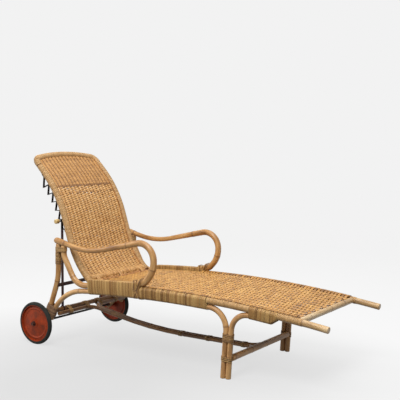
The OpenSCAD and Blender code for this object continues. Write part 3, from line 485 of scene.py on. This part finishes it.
longPole = {"radius": 11.0, "bends": [60, 2600, 55], "half": 11.75,
            "corners": [(-702.7, 287.9, 179), (-702.7, 11.75, 179), (-272.7, 11.75, 98),
                        (403.9, 11.75, 90), (403.9, 288.9, 90)]}
longLine = bentPath(longPole["corners"], longPole["bends"])
part = tube(longLine, longPole["radius"], 31, ref=(0, 0, 1), knotGap=250, sides=24)
paired("floor_pole", part, "dark", "frame", "long_stretcher", "aged_rattan")
print("frame poles made")

# slopes at the foot, along the middle and at the head; half is from the middle to a side rail
spine = {"foot": (-510, 386.778), "slopes": (43.0, 72.0, 46.0), "lowRadius": 480.0, "straight": 130.0,
         "highRadius": 650.0, "length": 785.9, "half": 252.0}


def rearward(slope):
    return np.stack([-np.sin(slope), -np.cos(slope)], -1)


def onward(slope):
    return np.stack([-np.cos(slope), np.sin(slope)], -1)


def backAt(s, off=0.0):
    # the back's line by its length s from the foot: arc, straight, opposite arc, straight; off is to the rear
    s = np.asarray(s, float)
    foot, mid, top = np.radians(spine["slopes"])
    lowR, highR = spine["lowRadius"], spine["highRadius"]
    low, straight, high = lowR * (mid - foot), spine["straight"], highR * (mid - top)
    inLow, inStraight, inHigh = s < low, s < low + straight, s < low + straight + high
    falling = mid - (s - low - straight) / highR
    slope = np.where(inLow, foot + s / lowR, np.where(inStraight, mid, np.maximum(falling, top)))
    start = np.asarray(spine["foot"])
    lowEnd = start - lowR * (rearward(foot) - rearward(mid))
    straightEnd = lowEnd + straight * onward(mid)
    highEnd = straightEnd + highR * (rearward(mid) - rearward(top))
    onLow = start - lowR * (rearward(foot) - rearward(np.minimum(foot + np.clip(s, None, low) / lowR, mid)))
    onStraight = lowEnd + (s - low)[..., None] * onward(mid)
    onHigh = straightEnd + highR * (rearward(mid) - rearward(np.clip(falling, top, mid)))
    onHead = highEnd + (s - low - straight - high)[..., None] * onward(top)
    flat = np.where(inHigh[..., None], onHigh, onHead)
    flat = np.where(inStraight[..., None], onStraight, flat)
    flat = np.where(inLow[..., None], onLow, flat) + np.asarray(off, float)[..., None] * rearward(slope)
    rear = np.stack([-np.sin(slope), 0 * slope, -np.cos(slope)], -1)
    return np.stack([flat[..., 0], 0 * s, flat[..., 1]], -1), rear


# the head is two corner bends and one wide bow, whose ends meet the side rails
head = {"corner": 42.0, "bow": 1070.0, "radius": 16.0, "below": -17.7, "railStop": 60.0, "railFoot": -18}
# half of the bow's angle, up to where a corner's bend starts
head["halfAngle"] = np.arcsin((spine["half"] - head["corner"]) / (head["bow"] - head["corner"]))
sideLine = backAt(np.linspace(head["railFoot"], spine["length"] - head["railStop"], 120))[0]
part = tube(sideLine, head["radius"], 41, knotGap=400, swell=0.3)
paired("back_side", part, "back", "back", "back_rail", "pale_rattan", spine["half"])


def headPath():
    # drawn flat as (across, up), then set in the plane of the back's head
    f, bow, corner, half = head["halfAngle"], head["bow"], head["corner"], spine["half"]
    a = np.linspace(0, np.pi / 2 - f, 14)
    side = np.column_stack([half - corner + corner * np.cos(a), corner * np.sin(a)])
    b = np.linspace(f, -f, 60)[1:-1]
    middle = np.column_stack([bow * np.sin(b), corner * np.cos(f) + bow * (np.cos(b) - np.cos(f))])
    flat = np.vstack([[[half, head["below"]]], side, middle, side[::-1] * [-1, 1], [[-half, head["below"]]]])
    base, rear = backAt(np.array(spine["length"] - corner))
    slope = np.radians(spine["slopes"][2])
    up = np.array([-np.cos(slope), 0, np.sin(slope)])
    return base + flat[:, :1] * yAxis + flat[:, 1:] * up, rear


headLine, headRear = headPath()
part = tube(headLine, head["radius"], 43, ref=headRear, knotGap=400, swell=0.3, step=4)
makePiece("head_bow", part, "back", "back", "pale_rattan", "back_top_pole")
print("back frame made")

# how turns differ: in place along the run, in slack and in their share of the width
turnLook = {"along": 0.12, "slack": 0.35, "wide": (0.84, 1.03), "narrow": (0.5, 0.7)}


def winding(x0, x1, centre, outline, seed, pitch, width, thick, rounds=36, tones=(0.15, 0.9), slits=0.0):
    # one strand round a run of poles; rounds is the points in a turn. A share, slits, of the turns is narrow,
    # so that the dark layer of painted shade shows
    rng = np.random.default_rng(seed)
    turns = max(1, int(round(abs(x1 - x0) / pitch)))
    a = np.arange(turns * rounds + 1) / rounds

    def perTurn(values):
        return np.interp(a, np.arange(turns + 1), values)

    nudge = rng.uniform(-turnLook["along"], turnLook["along"], turns - 1)
    along = x0 + (x1 - x0) / turns * (a + perTurn(np.concatenate([[0], nudge, [0]])))
    base, up, side = centre(along)
    height, across, nUp, nSide = outline(2 * np.pi * a, along)
    lift = perTurn(rng.uniform(0, turnLook["slack"], turns + 1)) + thick / 2
    normal = nUp[:, None] * up + nSide[:, None] * side
    line = base + height[:, None] * up + across[:, None] * side + lift[:, None] * normal
    slit = rng.random(turns + 1) < slits
    narrow = rng.uniform(*turnLook["narrow"], turns + 1)
    share = np.where(slit, narrow, rng.uniform(*turnLook["wide"], turns + 1))
    tone = perTurn(rng.uniform(*tones, turns + 1))
    return strands(line[None], normal[None], (perTurn(share) * width)[None], thick, tone[None], seed)


def outlineOf(*circles):
    # the taut outline round circles (height, across, radius): in each direction it lies on the one that
    # reaches furthest. A value is a number, or a function of the place along the run
    def outline(angle, along):
        c, s = np.cos(angle), np.sin(angle)
        values = np.array([[np.broadcast_to(v(along) if callable(v) else float(v), angle.shape)
                            for v in circle] for circle in circles])
        touched = np.argmax(values[:, 0] * c + values[:, 1] * s + values[:, 2], 0)
        height, across, radius = values[touched, :, np.arange(len(touched))].T
        return height + radius * c, across + radius * s, c, s
    return outline


def sliding(x0, x1, first, last):
    def value(along):
        return np.interp(along, (x0, x1), (first, last))
    return value


def bulging(least, more, length):
    def value(along):
        return least + more * np.sin(np.pi * along / length)
    return value


def sleeve(x0, x1, centre, outline, inset, step=8.0, sides=36):
    # the dark layer under a winding, a sheet of painted shade for the gaps between its turns: its outline,
    # drawn in by inset
    along = np.linspace(x0, x1, max(2, int(abs(x1 - x0) / step) + 1))
    a = np.linspace(0, 2 * np.pi, sides, endpoint=False)
    base, up, side = centre(along)
    around = outline(np.tile(a, len(along)), np.repeat(along, sides))
    height, across, nUp, nSide = (v.reshape(len(along), sides) for v in around)
    height, across = height - inset * nUp, across - inset * nSide
    points = base[:, None] + height[..., None] * up[:, None] + across[..., None] * side[:, None]
    points = points.reshape(-1, 3)
    faces = ringFaces(len(along), sides)
    if np.linalg.det(np.stack([up[0], side[0], base[-1] - base[0]])) < 0:
        faces = [f[:, ::-1] for f in faces]
    return points, faces, {"grain": points * mm, "tone": np.full(len(points), 0.3)}


# a centre gives, for places along a run, its middle line and the directions up and to the side

def bowCentre(y):
    def centre(x):
        up = bowUp(x)
        middle = np.array([railBow["crownX"], y, railBow["crownZ"] - railBow["radius"]])
        return middle + railBow["radius"] * up, up, np.broadcast_to(yAxis, up.shape)
    return centre


def straightCentre(start, direction, up):
    d, u = unit(direction), unit(up)

    def centre(q):
        base = start + q[:, None] * d
        return base, np.broadcast_to(u, base.shape), np.broadcast_to(np.cross(d, u), base.shape)
    return centre


def crossCentre(x, z):
    return straightCentre((x, 0, z), (0, 1, 0), (0, 0, 1))


def backCentre(y, off=0.0):
    def centre(s):
        base, rear = backAt(s, off)
        return base + y * yAxis, -rear, np.broadcast_to(yAxis, base.shape)
    return centre


def headCentre(q):
    s = lengthAlong(headLine)
    side = np.cross(unit(np.gradient(headLine, axis=0)), headRear)
    return valuesAt(q, s, headLine), np.broadcast_to(-headRear, (len(q), 3)), valuesAt(q, s, side)


# the wrapping goes round the rail, the pole under it and the arm's pared tail, whose edges are small circles;
# towards armX the arm grows round, and along lowEnds the lower circle rises away
wraps = {"rail": 16.3, "low": 14.3, "corner": 4.0, "tailTop": 34.4, "tailHalf": 15.2, "armX": -112.0,
         "armTop": 38.0, "armHalf": 5.0, "armCorner": 12.4, "lowEnds": (664, 698), "lowRises": -3.0}
wrapCane = {"pitch": 4.8, "width": 4.7, "thick": 1.4, "tones": (0.15, 0.95), "slits": 0.14}
tightCane = {"pitch": 4.6, "width": 4.8, "thick": 1.2, "tones": (0.35, 0.8)}
railCircle, lowCircle = (0, 0, wraps["rail"]), (lower["off"], 0, wraps["low"])
tailTop, tailHalf = wraps["tailTop"] - wraps["corner"], wraps["tailHalf"] - wraps["corner"]


def onScarf(first, last):
    return sliding(arm["scarfEnd"], wraps["armX"], first, last)


overTail = outlineOf(railCircle, lowCircle, *[(tailTop, k * tailHalf, wraps["corner"]) for k in (-1, 1)])
overScarf = outlineOf(railCircle, lowCircle,
                      *[(onScarf(tailTop, wraps["armTop"]), onScarf(k * tailHalf, k * wraps["armHalf"]),
                         onScarf(wraps["corner"], wraps["armCorner"])) for k in (-1, 1)])
double = outlineOf(railCircle, lowCircle)
rising = sliding(*wraps["lowEnds"], lower["off"], wraps["lowRises"])
closing = outlineOf(railCircle, (rising, 0, wraps["low"]))

# each run: where it starts and ends, its outline and its seed
runs = {"apron": [(-455, -172, overTail, 51), (-171, -122, overScarf, 52), (-120, 312, double, 53)],
        "foot": [(546, 664, double, 55), (664, 698, closing, 58)]}
onRail = bowCentre(rail["y"])
for name in runs:
    turns = joined([winding(a, b, onRail, outline, seed, **wrapCane) for a, b, outline, seed in runs[name]])
    # under each run lies a dark sleeve of painted shade
    layer = joined([sleeve(a + 2, b - 2, onRail, outline, 0.4) for a, b, outline, seed in runs[name]])
    paired(name + "_cane", turns, "wrap", "frame", name + "_wrap")
    paired(name + "_under_layer", layer, "shade", "frame")
single = [winding(a, b, onRail, outlineOf(railCircle), seed, **tightCane) for a, b, seed in
          ((314, 545, 56), (699, 818, 57))]
paired("tight_cane", joined(single), "smoothWrap", "frame")

# two sets of three loops cross on the side of the arm's foot: each set's tilt, lift and seed
crossed = {"x": -120, "apart": (-8, 0, 8), "tones": (0.55, 0.0, 0.3), "width": 5.6, "thick": 1.5,
           "sets": ((20, 2.2, 91), (-20, 3.7, 95))}


def leaningLoops(outline, tilt, lift, seed):
    # closed loops, with the place along the rail at x + apart + tilt*(height + 4)/42
    parts = []
    a = np.linspace(0, 2 * np.pi, 97)
    for k, apart in enumerate(crossed["apart"]):
        height = outline(a, crossed["x"] + apart + 0 * a)[0]
        along = crossed["x"] + apart + tilt * (height + 4) / 42
        base, up, side = onRail(along)
        height, across, nUp, nSide = outline(a, along)
        normal = nUp[:, None] * up + nSide[:, None] * side
        line = base + (height + lift * nUp)[:, None] * up + (across + lift * nSide)[:, None] * side
        tone = crossed["tones"][k] + 0 * a[None]
        parts.append(strands(line[None], normal[None], crossed["width"], crossed["thick"], tone, seed + k))
    return joined(parts)


def armHeight(x):
    # the arm leaves the rail on its bend of radius 130, so its centre rises by (x + 140)^2/260
    return np.interp(x, (-172, -138), (26.0, 34.2)) + np.clip(x + 140, 0, None) ** 2 / 260


aroundArm = outlineOf(railCircle, lowCircle, (armHeight, 0, sliding(-172, -106, 9.4, 17.4)))
loops = joined([leaningLoops(aroundArm, *oneSet) for oneSet in crossed["sets"]])
paired("crossed_cane", loops, "wrap", "frame")

# ties between poles: start (x, z), direction, up, circles, length, pitch and node
legLean, postSlope = 0.073, np.radians(69.2)
legUp, legOut = (0.0728, 0, 0.99735), (1, 0, -legLean)
legPair = ((-14.5, 0, 14.4), (14.5, 0, 14.4))
postDir, postOut = (np.cos(postSlope), 0, np.sin(postSlope)), (np.sin(postSlope), 0, -np.cos(postSlope))


def legAt(z):
    return (409.49 + z * legLean, z)


# the axle's tie is a pad, thickest in its middle at (-738.28, 200.84)
axlePad = ((-15.0, 0, bulging(15.4, 3.6, 68)), (18.0, 0, bulging(14.4, 3.6, 68)))
padStart = (-738.28 - 34 * postDir[0], 200.84 - 34 * postDir[2])
ties = {
    "post_tie": ((-680.6, 534.0), (0, 0, 1), (1, 0, 0), ((0, 0, 15.4), (40, 0, 16.4)), 28.0, 7.0,
                 "post_binding"),
    "post_winding": ((-682.4, 466.0), (0.0194, 0, 1), (1, 0, 0), ((0, 0, 15.4),), 66.0, 7.8, "post_lashing"),
    "leg_winding": (legAt(183.2), legUp, legOut, legPair, 38.0, 7.8, "leg_lashing"),
    "leg_tie": (legAt(86.0), legUp, legOut, legPair, 24.0, 7.0, "leg_band"),
    "axle_tie": (padStart, postDir, postOut, axlePad, 68.0, 7.2, "axle_block"),
}
for seed, (name, ((x, z), direction, up, circles, length, pitch, node)) in enumerate(ties.items(), 101):
    centre, outline = straightCentre((x, rail["y"], z), direction, up), outlineOf(*circles)
    turns = winding(0, length, centre, outline, seed, pitch, pitch * 0.93, 1.9, rounds=32)
    paired(name, turns, "pad" if node == "axle_block" else "binding", "frame", node)
    # under each tie lies a dark sleeve of painted shade
    layer = sleeve(1.5, length - 1.5, centre, outline, 0.3)
    paired(name + "_layer", layer, "shade", "frame")

# cane round the long poles where they lie side by side, and round the rear rung with their rear ends
pairTie = {"pitch": 6.6, "width": 6.2, "thick": 1.8, "rounds": 32}
rungTie = {"pitch": 6.5, "width": 6.0, "thick": 1.8, "rounds": 28}
pairStart, pairEnd = (np.array(longPole["corners"][k]) * [1, 0, 1] for k in (2, 3))
pairRun = pairEnd - pairStart
pairLength = np.linalg.norm(pairRun)
aroundPair = outlineOf((0, -longPole["half"], 11.2), (0, longPole["half"], 11.2))
pairTies = []
for k, q in enumerate((200, pairLength / 2 + 40, pairLength - 80)):
    centre = straightCentre(pairStart + pairRun / pairLength * q, pairRun, (0, 0, 1))
    pairTies.append(winding(0, 20, centre, aroundPair, 111 + k, **pairTie))
onRung = straightCentre(crossPoles["rear_rung"][0], (0, 1, 0), (0, 0, -1))
aroundRung = outlineOf((0, 0, 13.2), (16.0, -24.3, 11.2))
rungTies = [winding(y, y + 26, onRung, aroundRung, 131 + k, **rungTie)
            for k, y in enumerate((-205, -60, 48, 190))]
makePiece("rung_ties", joined(rungTies), "binding", "frame")
makePiece("stretcher_ties", joined(pairTies), "binding", "frame", "cane_wrap", "stretcher_bindings")

backCane = {"pitch": 5.2, "width": 5.3, "thick": 1.2, "rounds": 24, "tones": (0.4, 0.8)}
aroundBack = outlineOf((0, 0, 16.2))
part = winding(-14, spine["length"] - 62, backCentre(spine["half"]), aroundBack, 61, **backCane)
paired("back_side_cane", part, "smoothWrap", "back")
part = winding(4, lengthAlong(headLine)[-1] - 4, headCentre, aroundBack, 63, **backCane)
makePiece("head_cane", part, "smoothWrap", "back")

# cane wound round the hinge rod and its eyes closes the crease, with a roll between it and the foot pole;
# all of it turns with the back
crease = {"hinge": (-478, 362.778), "roll": (-494, 374.8), "eyes": (-191.5, 0.0, 191.5), "eyeHalf": 12.5}
footCane = {"pitch": 6.4, "width": 6.2, "thick": 1.4, "rounds": 24}
hingeCane = {"pitch": 6.0, "width": 5.9, "thick": 1.6, "rounds": 24}
rollCane = {"pitch": 6.2, "width": 6.1, "thick": 1.6, "rounds": 18}
eyeCane = {"pitch": 5.1, "width": 5.1, "thick": 1.4}
part = winding(-234, 234, crossCentre(*spine["foot"]), outlineOf((0, 0, 15.8)), 65, **footCane)
makePiece("foot_pole_cane", part, "back", "back")
onHinge = crossCentre(*crease["hinge"])
part = joined([winding(-280, 280, onHinge, outlineOf((0, 0, 10.4)), 67, **hingeCane),
               winding(-236, 236, crossCentre(*crease["roll"]), outlineOf((0, 0, 5.0)), 68, **rollCane)])
makePiece("hinge_cane", part, "braid", "back")
# loops of cane bind each iron eye to the foot pole
aroundEye = outlineOf((0, 0, 10.6), (24.0, -32.0, 17.2))
eyeHalf = crease["eyeHalf"]
eyes = [winding(y - eyeHalf, y + eyeHalf, onHinge, aroundEye, 69 + k, **eyeCane)
        for k, y in enumerate(crease["eyes"])]
makePiece("eye_cane", joined(eyes), "back", "back")
print("windings made")

# a row is wide before a stake and narrow behind it, bulges by rib and climbs by slant
backRows = {"pitch": 6.2, "wide": 12.2, "narrow": 8.0, "thick": 1.9, "rib": 3.6, "slant": 7.5, "spots": 0.14}
seatRows = {"pitch": 9.6, "wide": 18.2, "narrow": 11.6, "thick": 2.2, "rib": 4.6, "slant": 8.0, "spots": 0.2}
stake = {"width": 6.0, "thick": 4.4, "tone": 0.15}
# a row's tone is dark plus light times how far it stands in front: painted shade in the grooves behind the
# stakes, with mottled and own varying it at random
row = {"front": 0.55, "behind": 0.7, "wander": 0.5, "stray": 0.3, "uneven": 0.08, "dark": 0.03, "light": 0.62,
       "mottled": 0.1, "own": 0.07}


def ribbedRows(weaving, rows, stakes, seed, even, samples=8):
    # a row passes before every other stake and behind the rest, the next row the other way. In front it is
    # wide and climbs, so each stake reads as a twisted rib. Where even is 1 all rows bulge alike
    rng = np.random.default_rng(seed)
    u = np.linspace(-0.5, stakes - 0.5, stakes * samples + 1)

    def noiseRows(every):
        return np.stack([smoothNoise(rng, len(u), every) for _ in range(rows)])

    wave = np.cos(np.pi * (u + np.arange(rows)[:, None]))
    wave = wave * (1 - even) + np.abs(wave) * even
    front = np.clip(wave, 0, 1) ** row["front"]
    behind = np.clip(-wave, 0, 1) ** row["behind"]
    height = np.where(wave > 0, front, -behind) * weaving["rib"]
    part = np.mod(u + 0.5, 1) - 0.5
    shift = weaving["slant"] * part * np.where(wave > 0, 1, -1) * (1 - even)
    shift = shift + row["wander"] * noiseRows(40) + rng.normal(0, row["stray"], (rows, 1))
    wider = (weaving["wide"] - weaving["narrow"]) * front * (1 - 0.9 * even)
    width = weaving["narrow"] + wider * (1 + row["uneven"] * noiseRows(6))
    cell = np.clip(np.floor(u + 0.5).astype(int), 0, stakes - 1)
    # painted shade: a row is paler where it stands in front of a stake and darker where it dives behind one
    tone = row["dark"] + row["light"] * front + row["mottled"] * noiseRows(7)
    tone = tone + rng.uniform(-row["own"], row["own"], (rows, 1))
    tone = tone + rng.uniform(-1, 1, (rows, stakes))[:, cell] * weaving["spots"] * (1 - even)
    return u, shift, height, width, tone


def stakesAlong(p, normals, seed):
    tone = np.full(p.shape[:2], stake["tone"])
    return strands(p, normals, stake["width"], stake["thick"], tone, seed, roundSection)


def rowLevels(weaving, start, end):
    return start + (np.arange(int((end - start) / weaving["pitch"]))[:, None] + 0.5) * weaving["pitch"]


def darkBands(level, places, width):
    return np.exp(-((level - np.array(places)) / width) ** 2).max(1)[:, None]


# the rows reach to outer over the rails where the seat is open to the side, and to inner beside the apron
seat = {"x0": -458.0, "x1": 791.0, "stakes": 15, "inner": 287.0, "outer": 309.0, "openFrom": -122.0,
        "level": 10.5, "overRail": 19.0, "climb": 34.0, "flatFrom": 292, "flat": 0.35,
        "dark": (-446, 694, 712, 770), "crease": 285, "creaseWidth": 8.0}


def seatPoint(x, y, lift):
    # towards the rails the level climbs by a smooth step to lie on them
    f = np.clip((np.abs(y) - (rail["y"] - seat["climb"])) / (seat["climb"] - 8), 0, 1)
    rise = (seat["overRail"] - seat["level"]) * f * f * (3 - 2 * f) * (x > seat["openFrom"])
    r = railBow["radius"]
    up = bowUp(x)
    base = np.stack([railBow["crownX"] + 0 * x, y, railBow["crownZ"] - r + 0 * x], -1)
    return base + (r + seat["level"] + rise + lift)[..., None] * up, up


def seatAcross(x, place):
    # y at x; place runs from 0 to the number of stakes
    half = np.where(x > seat["openFrom"], seat["outer"], seat["inner"])
    return place / seat["stakes"] * 2 * half - half


def weaveSeat():
    level = rowLevels(seatRows, seat["x0"], seat["x1"])
    rows = len(level)
    u, shift, height, width, tone = ribbedRows(seatRows, rows, seat["stakes"], 71, 0.0)
    y = seatAcross(level, u + 0.5)
    p, n = seatPoint(level + shift, y, height * np.where(np.abs(y) > seat["flatFrom"], seat["flat"], 1))
    # dust and shade in the crease beside each rail
    shade = 0.5 * np.exp(-((np.abs(y) - seat["crease"]) / seat["creaseWidth"]) ** 2)
    tone = np.clip(tone - 0.5 * darkBands(level, seat["dark"], 3.5) - shade, 0, 1)
    for k in range(3):
        third = slice(k * rows // 3, (k + 1) * rows // 3)
        shown = p[third], n[third], width[third], seatRows["thick"], tone[third]
        part = strands(*shown, 3 + k, flatSection)
        replaced = ["seat_panel"] if k == 0 else []
        makePiece(f"seat_rows_{k + 1}", part, "weave", "frame", "woven_cane", *replaced)
    x = np.repeat(np.arange(seat["x0"] - 2, seat["x1"] + 4, 10.0)[None], seat["stakes"], 0)
    p, n = seatPoint(x, seatAcross(x, np.arange(seat["stakes"])[:, None] + 0.5), 0 * x)
    makePiece("seat_stakes", stakesAlong(p, n, 9), "weave", "frame", "woven_cane")


weaveSeat()
print("seat woven")

# s0, s1, headFrom and dark are lengths from the foot; overFoot is a bell round 0
weave = {"stakes": 16, "half": 237.0, "s0": -22.0, "s1": 783.0, "headFrom": 560.0, "headRun": 220,
             "dark": (520.0, 566.0), "overFoot": 11.5, "footBell": 17.0, "bowHalf": 230}
laceCane = {"pitch": 7.5, "width": 6.0, "thick": 1.5, "rounds": 12}


def headRise(y):
    # the height of the head's bow over its corners at y
    corner, bow, f = head["corner"], head["bow"], head["halfAngle"]
    aside = np.clip(np.abs(y), 0, weave["bowHalf"])
    return corner * np.cos(f) + np.sqrt(bow ** 2 - aside ** 2) - bow * np.cos(f) - corner


def backPoint(s, y, off):
    # rows follow the top pole's bow near the head and are level at the foot
    along = s + headRise(y) * np.clip((s - weave["headFrom"]) / weave["headRun"], 0, 1)
    p, rear = backAt(along, off)
    return p + y[..., None] * yAxis, rear


def weaveBack():
    # the rows lie over the foot pole at the bottom and stand straighter in the head
    level = rowLevels(backRows, weave["s0"], weave["s1"])
    inHead = (level > weave["headFrom"]).astype(float)
    u, shift, height, width, tone = ribbedRows(backRows, len(level), weave["stakes"], 81, inHead)
    y = ((u + 0.5) / weave["stakes"] * 2 - 1) * weave["half"] + 0 * level
    foot = weave["overFoot"] * np.exp(-(level / weave["footBell"]) ** 2)
    p, rear = backPoint(level + shift, y, -height * (1 + 0.2 * inHead) - foot)
    tone = np.clip(tone + 0.05 - 0.3 * darkBands(level, weave["dark"], 5.0) - 0.3 * inHead, 0, 1)
    part = strands(p, -rear, width, backRows["thick"], tone, 5, flatSection)
    makePiece("back_rows", part, "back", "back", "woven_cane", "back_panel")
    s = np.repeat(np.linspace(2, 785, 131)[None], weave["stakes"], 0)
    middle = np.arange(weave["stakes"])[:, None] + 0.5
    across = (middle / weave["stakes"] * 2 - 1) * weave["half"]
    p, rear = backPoint(s, across + 0 * s, 0 * s)
    makePiece("back_stakes", stakesAlong(p, -rear, 7), "back", "back", "woven_cane")
    # cane laced down the inner side of each rail
    inside = backCentre(weave["half"] - 3, -3.5)
    lace = winding(16, 765, inside, outlineOf((0, 0, 3.6)), 83, **laceCane)
    paired("back_lacing", lace, "braid", "back")


weaveBack()
print("back woven")

braidRow = {"x": -464.0, "z": 377.0, "radius": 4.0, "round": 3.6, "reach": 286.0, "pitch": 11.0, "step": 3.0}


def plait():
    # three rolls twined round a line across the seat's rear edge
    parts = []
    for k in range(3):
        t = np.arange(-braidRow["reach"], braidRow["reach"], braidRow["step"])
        a = 2 * np.pi * (t / (3 * braidRow["pitch"]) + k / 3)
        x, z = braidRow["x"] + braidRow["round"] * np.cos(a), braidRow["z"] + braidRow["round"] * np.sin(a)
        points, faces, values = tube(np.column_stack([x, t, z]), braidRow["radius"], 120 + k, ref=(0, 0, 1),
                                     sides=10, step=braidRow["step"], knotGap=9000)
        tone = 0.5 + 0.35 * np.sin(points[:, 1] * 0.19 + k)
        parts.append((points, faces, {"grain": values["grain"], "tone": tone}))
    return joined(parts)


makePiece("crease_braid", plait(), "braid", "frame")

finishes = {
    "iron": "right_rack left_rack hinge_eyes hinge_rod prop_rod axle",
    "brownIron": "right_prop_leg left_prop_leg rear_brace_bar",
    "redPaint": "right_wheel_disc left_wheel_disc right_wheel_hub left_wheel_hub",
    "rubber": "right_wheel_tyre left_wheel_tyre",
    "steel": "hub_nuts axle_collars",
    "crossPole": "back_bottom_pole back_cross_poles seat_cross_poles prop_roller",
    "knob": "right_prop_knob left_prop_knob",
}
for finish, nodes in finishes.items():
    for node in nodes.split():
        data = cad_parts[node].data
        data.materials.clear()
        data.materials.append(materials[finish])
print("solids painted")

# the floor's glow goes from its first value at glowMiddle to its second, over the metres in glowReach; the
# dimmer glow round glowMiddle, in front of the chair, is painted shade
studio = {"grey": "#f2f2f2", "glow": (0.685, 0.93), "glowReach": (0.3, 1.9), "floorTint": 0.105,
          "glowMiddle": (-0.15, -0.75, 0.0), "fade": (2.2, 6.5), "ambient": 0.4}
# place, diameter, power and the point it aims at
lights = {"keyLight": ((0.6, -2.4, 3.6), 1.8, 118, (0, 0, 0.3)),
          "fillLight": ((-3.4, -1.6, 2.4), 2.6, 46, (0, 0, 0.4)),
          "topLight": ((0.2, 0.6, 4.2), 3.0, 64, (0, 0, 0.2))}


def directRays(tree):
    # 1 for what the camera sees, also in a mirror
    ray = addNode(tree, "LightPath").outputs
    seen = ray["Is Camera Ray"]
    for kind in ("Is Glossy Ray", "Is Transmission Ray"):
        seen = addNode(tree, "Math", {"operation": "MAXIMUM"}, {0: seen, 1: ray[kind]}).outputs[0]
    return seen


def makeFloor():
    # it glows grey where the camera looks at it, dimmer round glowMiddle as painted shade, and keeps the
    # object's shadow
    mesh = bpy.data.meshes.new("floor")
    mesh.from_pydata([(-9, -9, 0), (9, -9, 0), (9, 9, 0), (-9, 9, 0)], [], [(0, 1, 2, 3)])
    material = bpy.data.materials.new("seamless_paper_floor")
    tree = freshTree(material)
    place = addNode(tree, "TexCoord").outputs["Object"]
    toMiddle = {"operation": "DISTANCE", 1: studio["glowMiddle"]}
    aside = addNode(tree, "VectorMath", toMiddle, {0: place}).outputs["Value"]
    spread = dict(enumerate(studio["glowReach"] + studio["glow"], 1))
    # painted shade: the glow is weaker near glowMiddle
    level = addNode(tree, "MapRange", spread, {0: aside}).outputs[0]
    seenOnly = {0: directRays(tree), 1: level}
    strength = addNode(tree, "Math", {"operation": "MULTIPLY"}, seenOnly).outputs[0]
    glow = addNode(tree, "Emission", {"Color": linear(studio["grey"])}, {"Strength": strength})
    paper = addNode(tree, "BsdfDiffuse", {"Color": (studio["floorTint"],) * 3 + (1,)})
    both = addNode(tree, "AddShader", links={0: glow.outputs[0], 1: paper.outputs[0]})
    clear = addNode(tree, "BsdfTransparent")
    # further out it melts into the background
    distance = addNode(tree, "VectorMath", {"operation": "LENGTH"}, {0: place}).outputs["Value"]
    melting = {"interpolation_type": "SMOOTHSTEP", 1: studio["fade"][0], 2: studio["fade"][1]}
    far = addNode(tree, "MapRange", melting, {0: distance}).outputs[0]
    mix = addNode(tree, "MixShader", links={0: far, 1: both.outputs[0], 2: clear.outputs[0]})
    addNode(tree, "OutputMaterial", links={0: mix.outputs[0]})
    mesh.materials.append(material)
    floor = addObject("floor", mesh)


def makeWorld():
    # the camera sees the studio's grey, and the object is lit by a weaker white
    world = bpy.data.worlds.new("studio")
    tree = freshTree(world)
    seen = addNode(tree, "Background", {"Color": linear(studio["grey"]), "Strength": 1.0})
    light = addNode(tree, "Background", {"Color": (1, 1, 1, 1), "Strength": studio["ambient"]})
    shown = {0: directRays(tree), 1: light.outputs[0], 2: seen.outputs[0]}
    mix = addNode(tree, "MixShader", links=shown)
    addNode(tree, "OutputWorld", links={0: mix.outputs[0]})
    scene.world = world


def makeLight(name, place, size, power, aim):
    lamp = bpy.data.lights.new(name, "AREA")
    lamp.shape = "DISK"
    lamp.size = size
    lamp.energy = power
    back = unit(np.subtract(place, aim))
    right = unit(np.cross([0, 0, 1.0], back))
    addObject(name, lamp).matrix_world = facing(place, right, np.cross(back, right), back)


makeFloor()
makeWorld()
for name, light in lights.items():
    makeLight(name, *light)
scene.view_settings.view_transform = "Standard"
print("floor and light made")
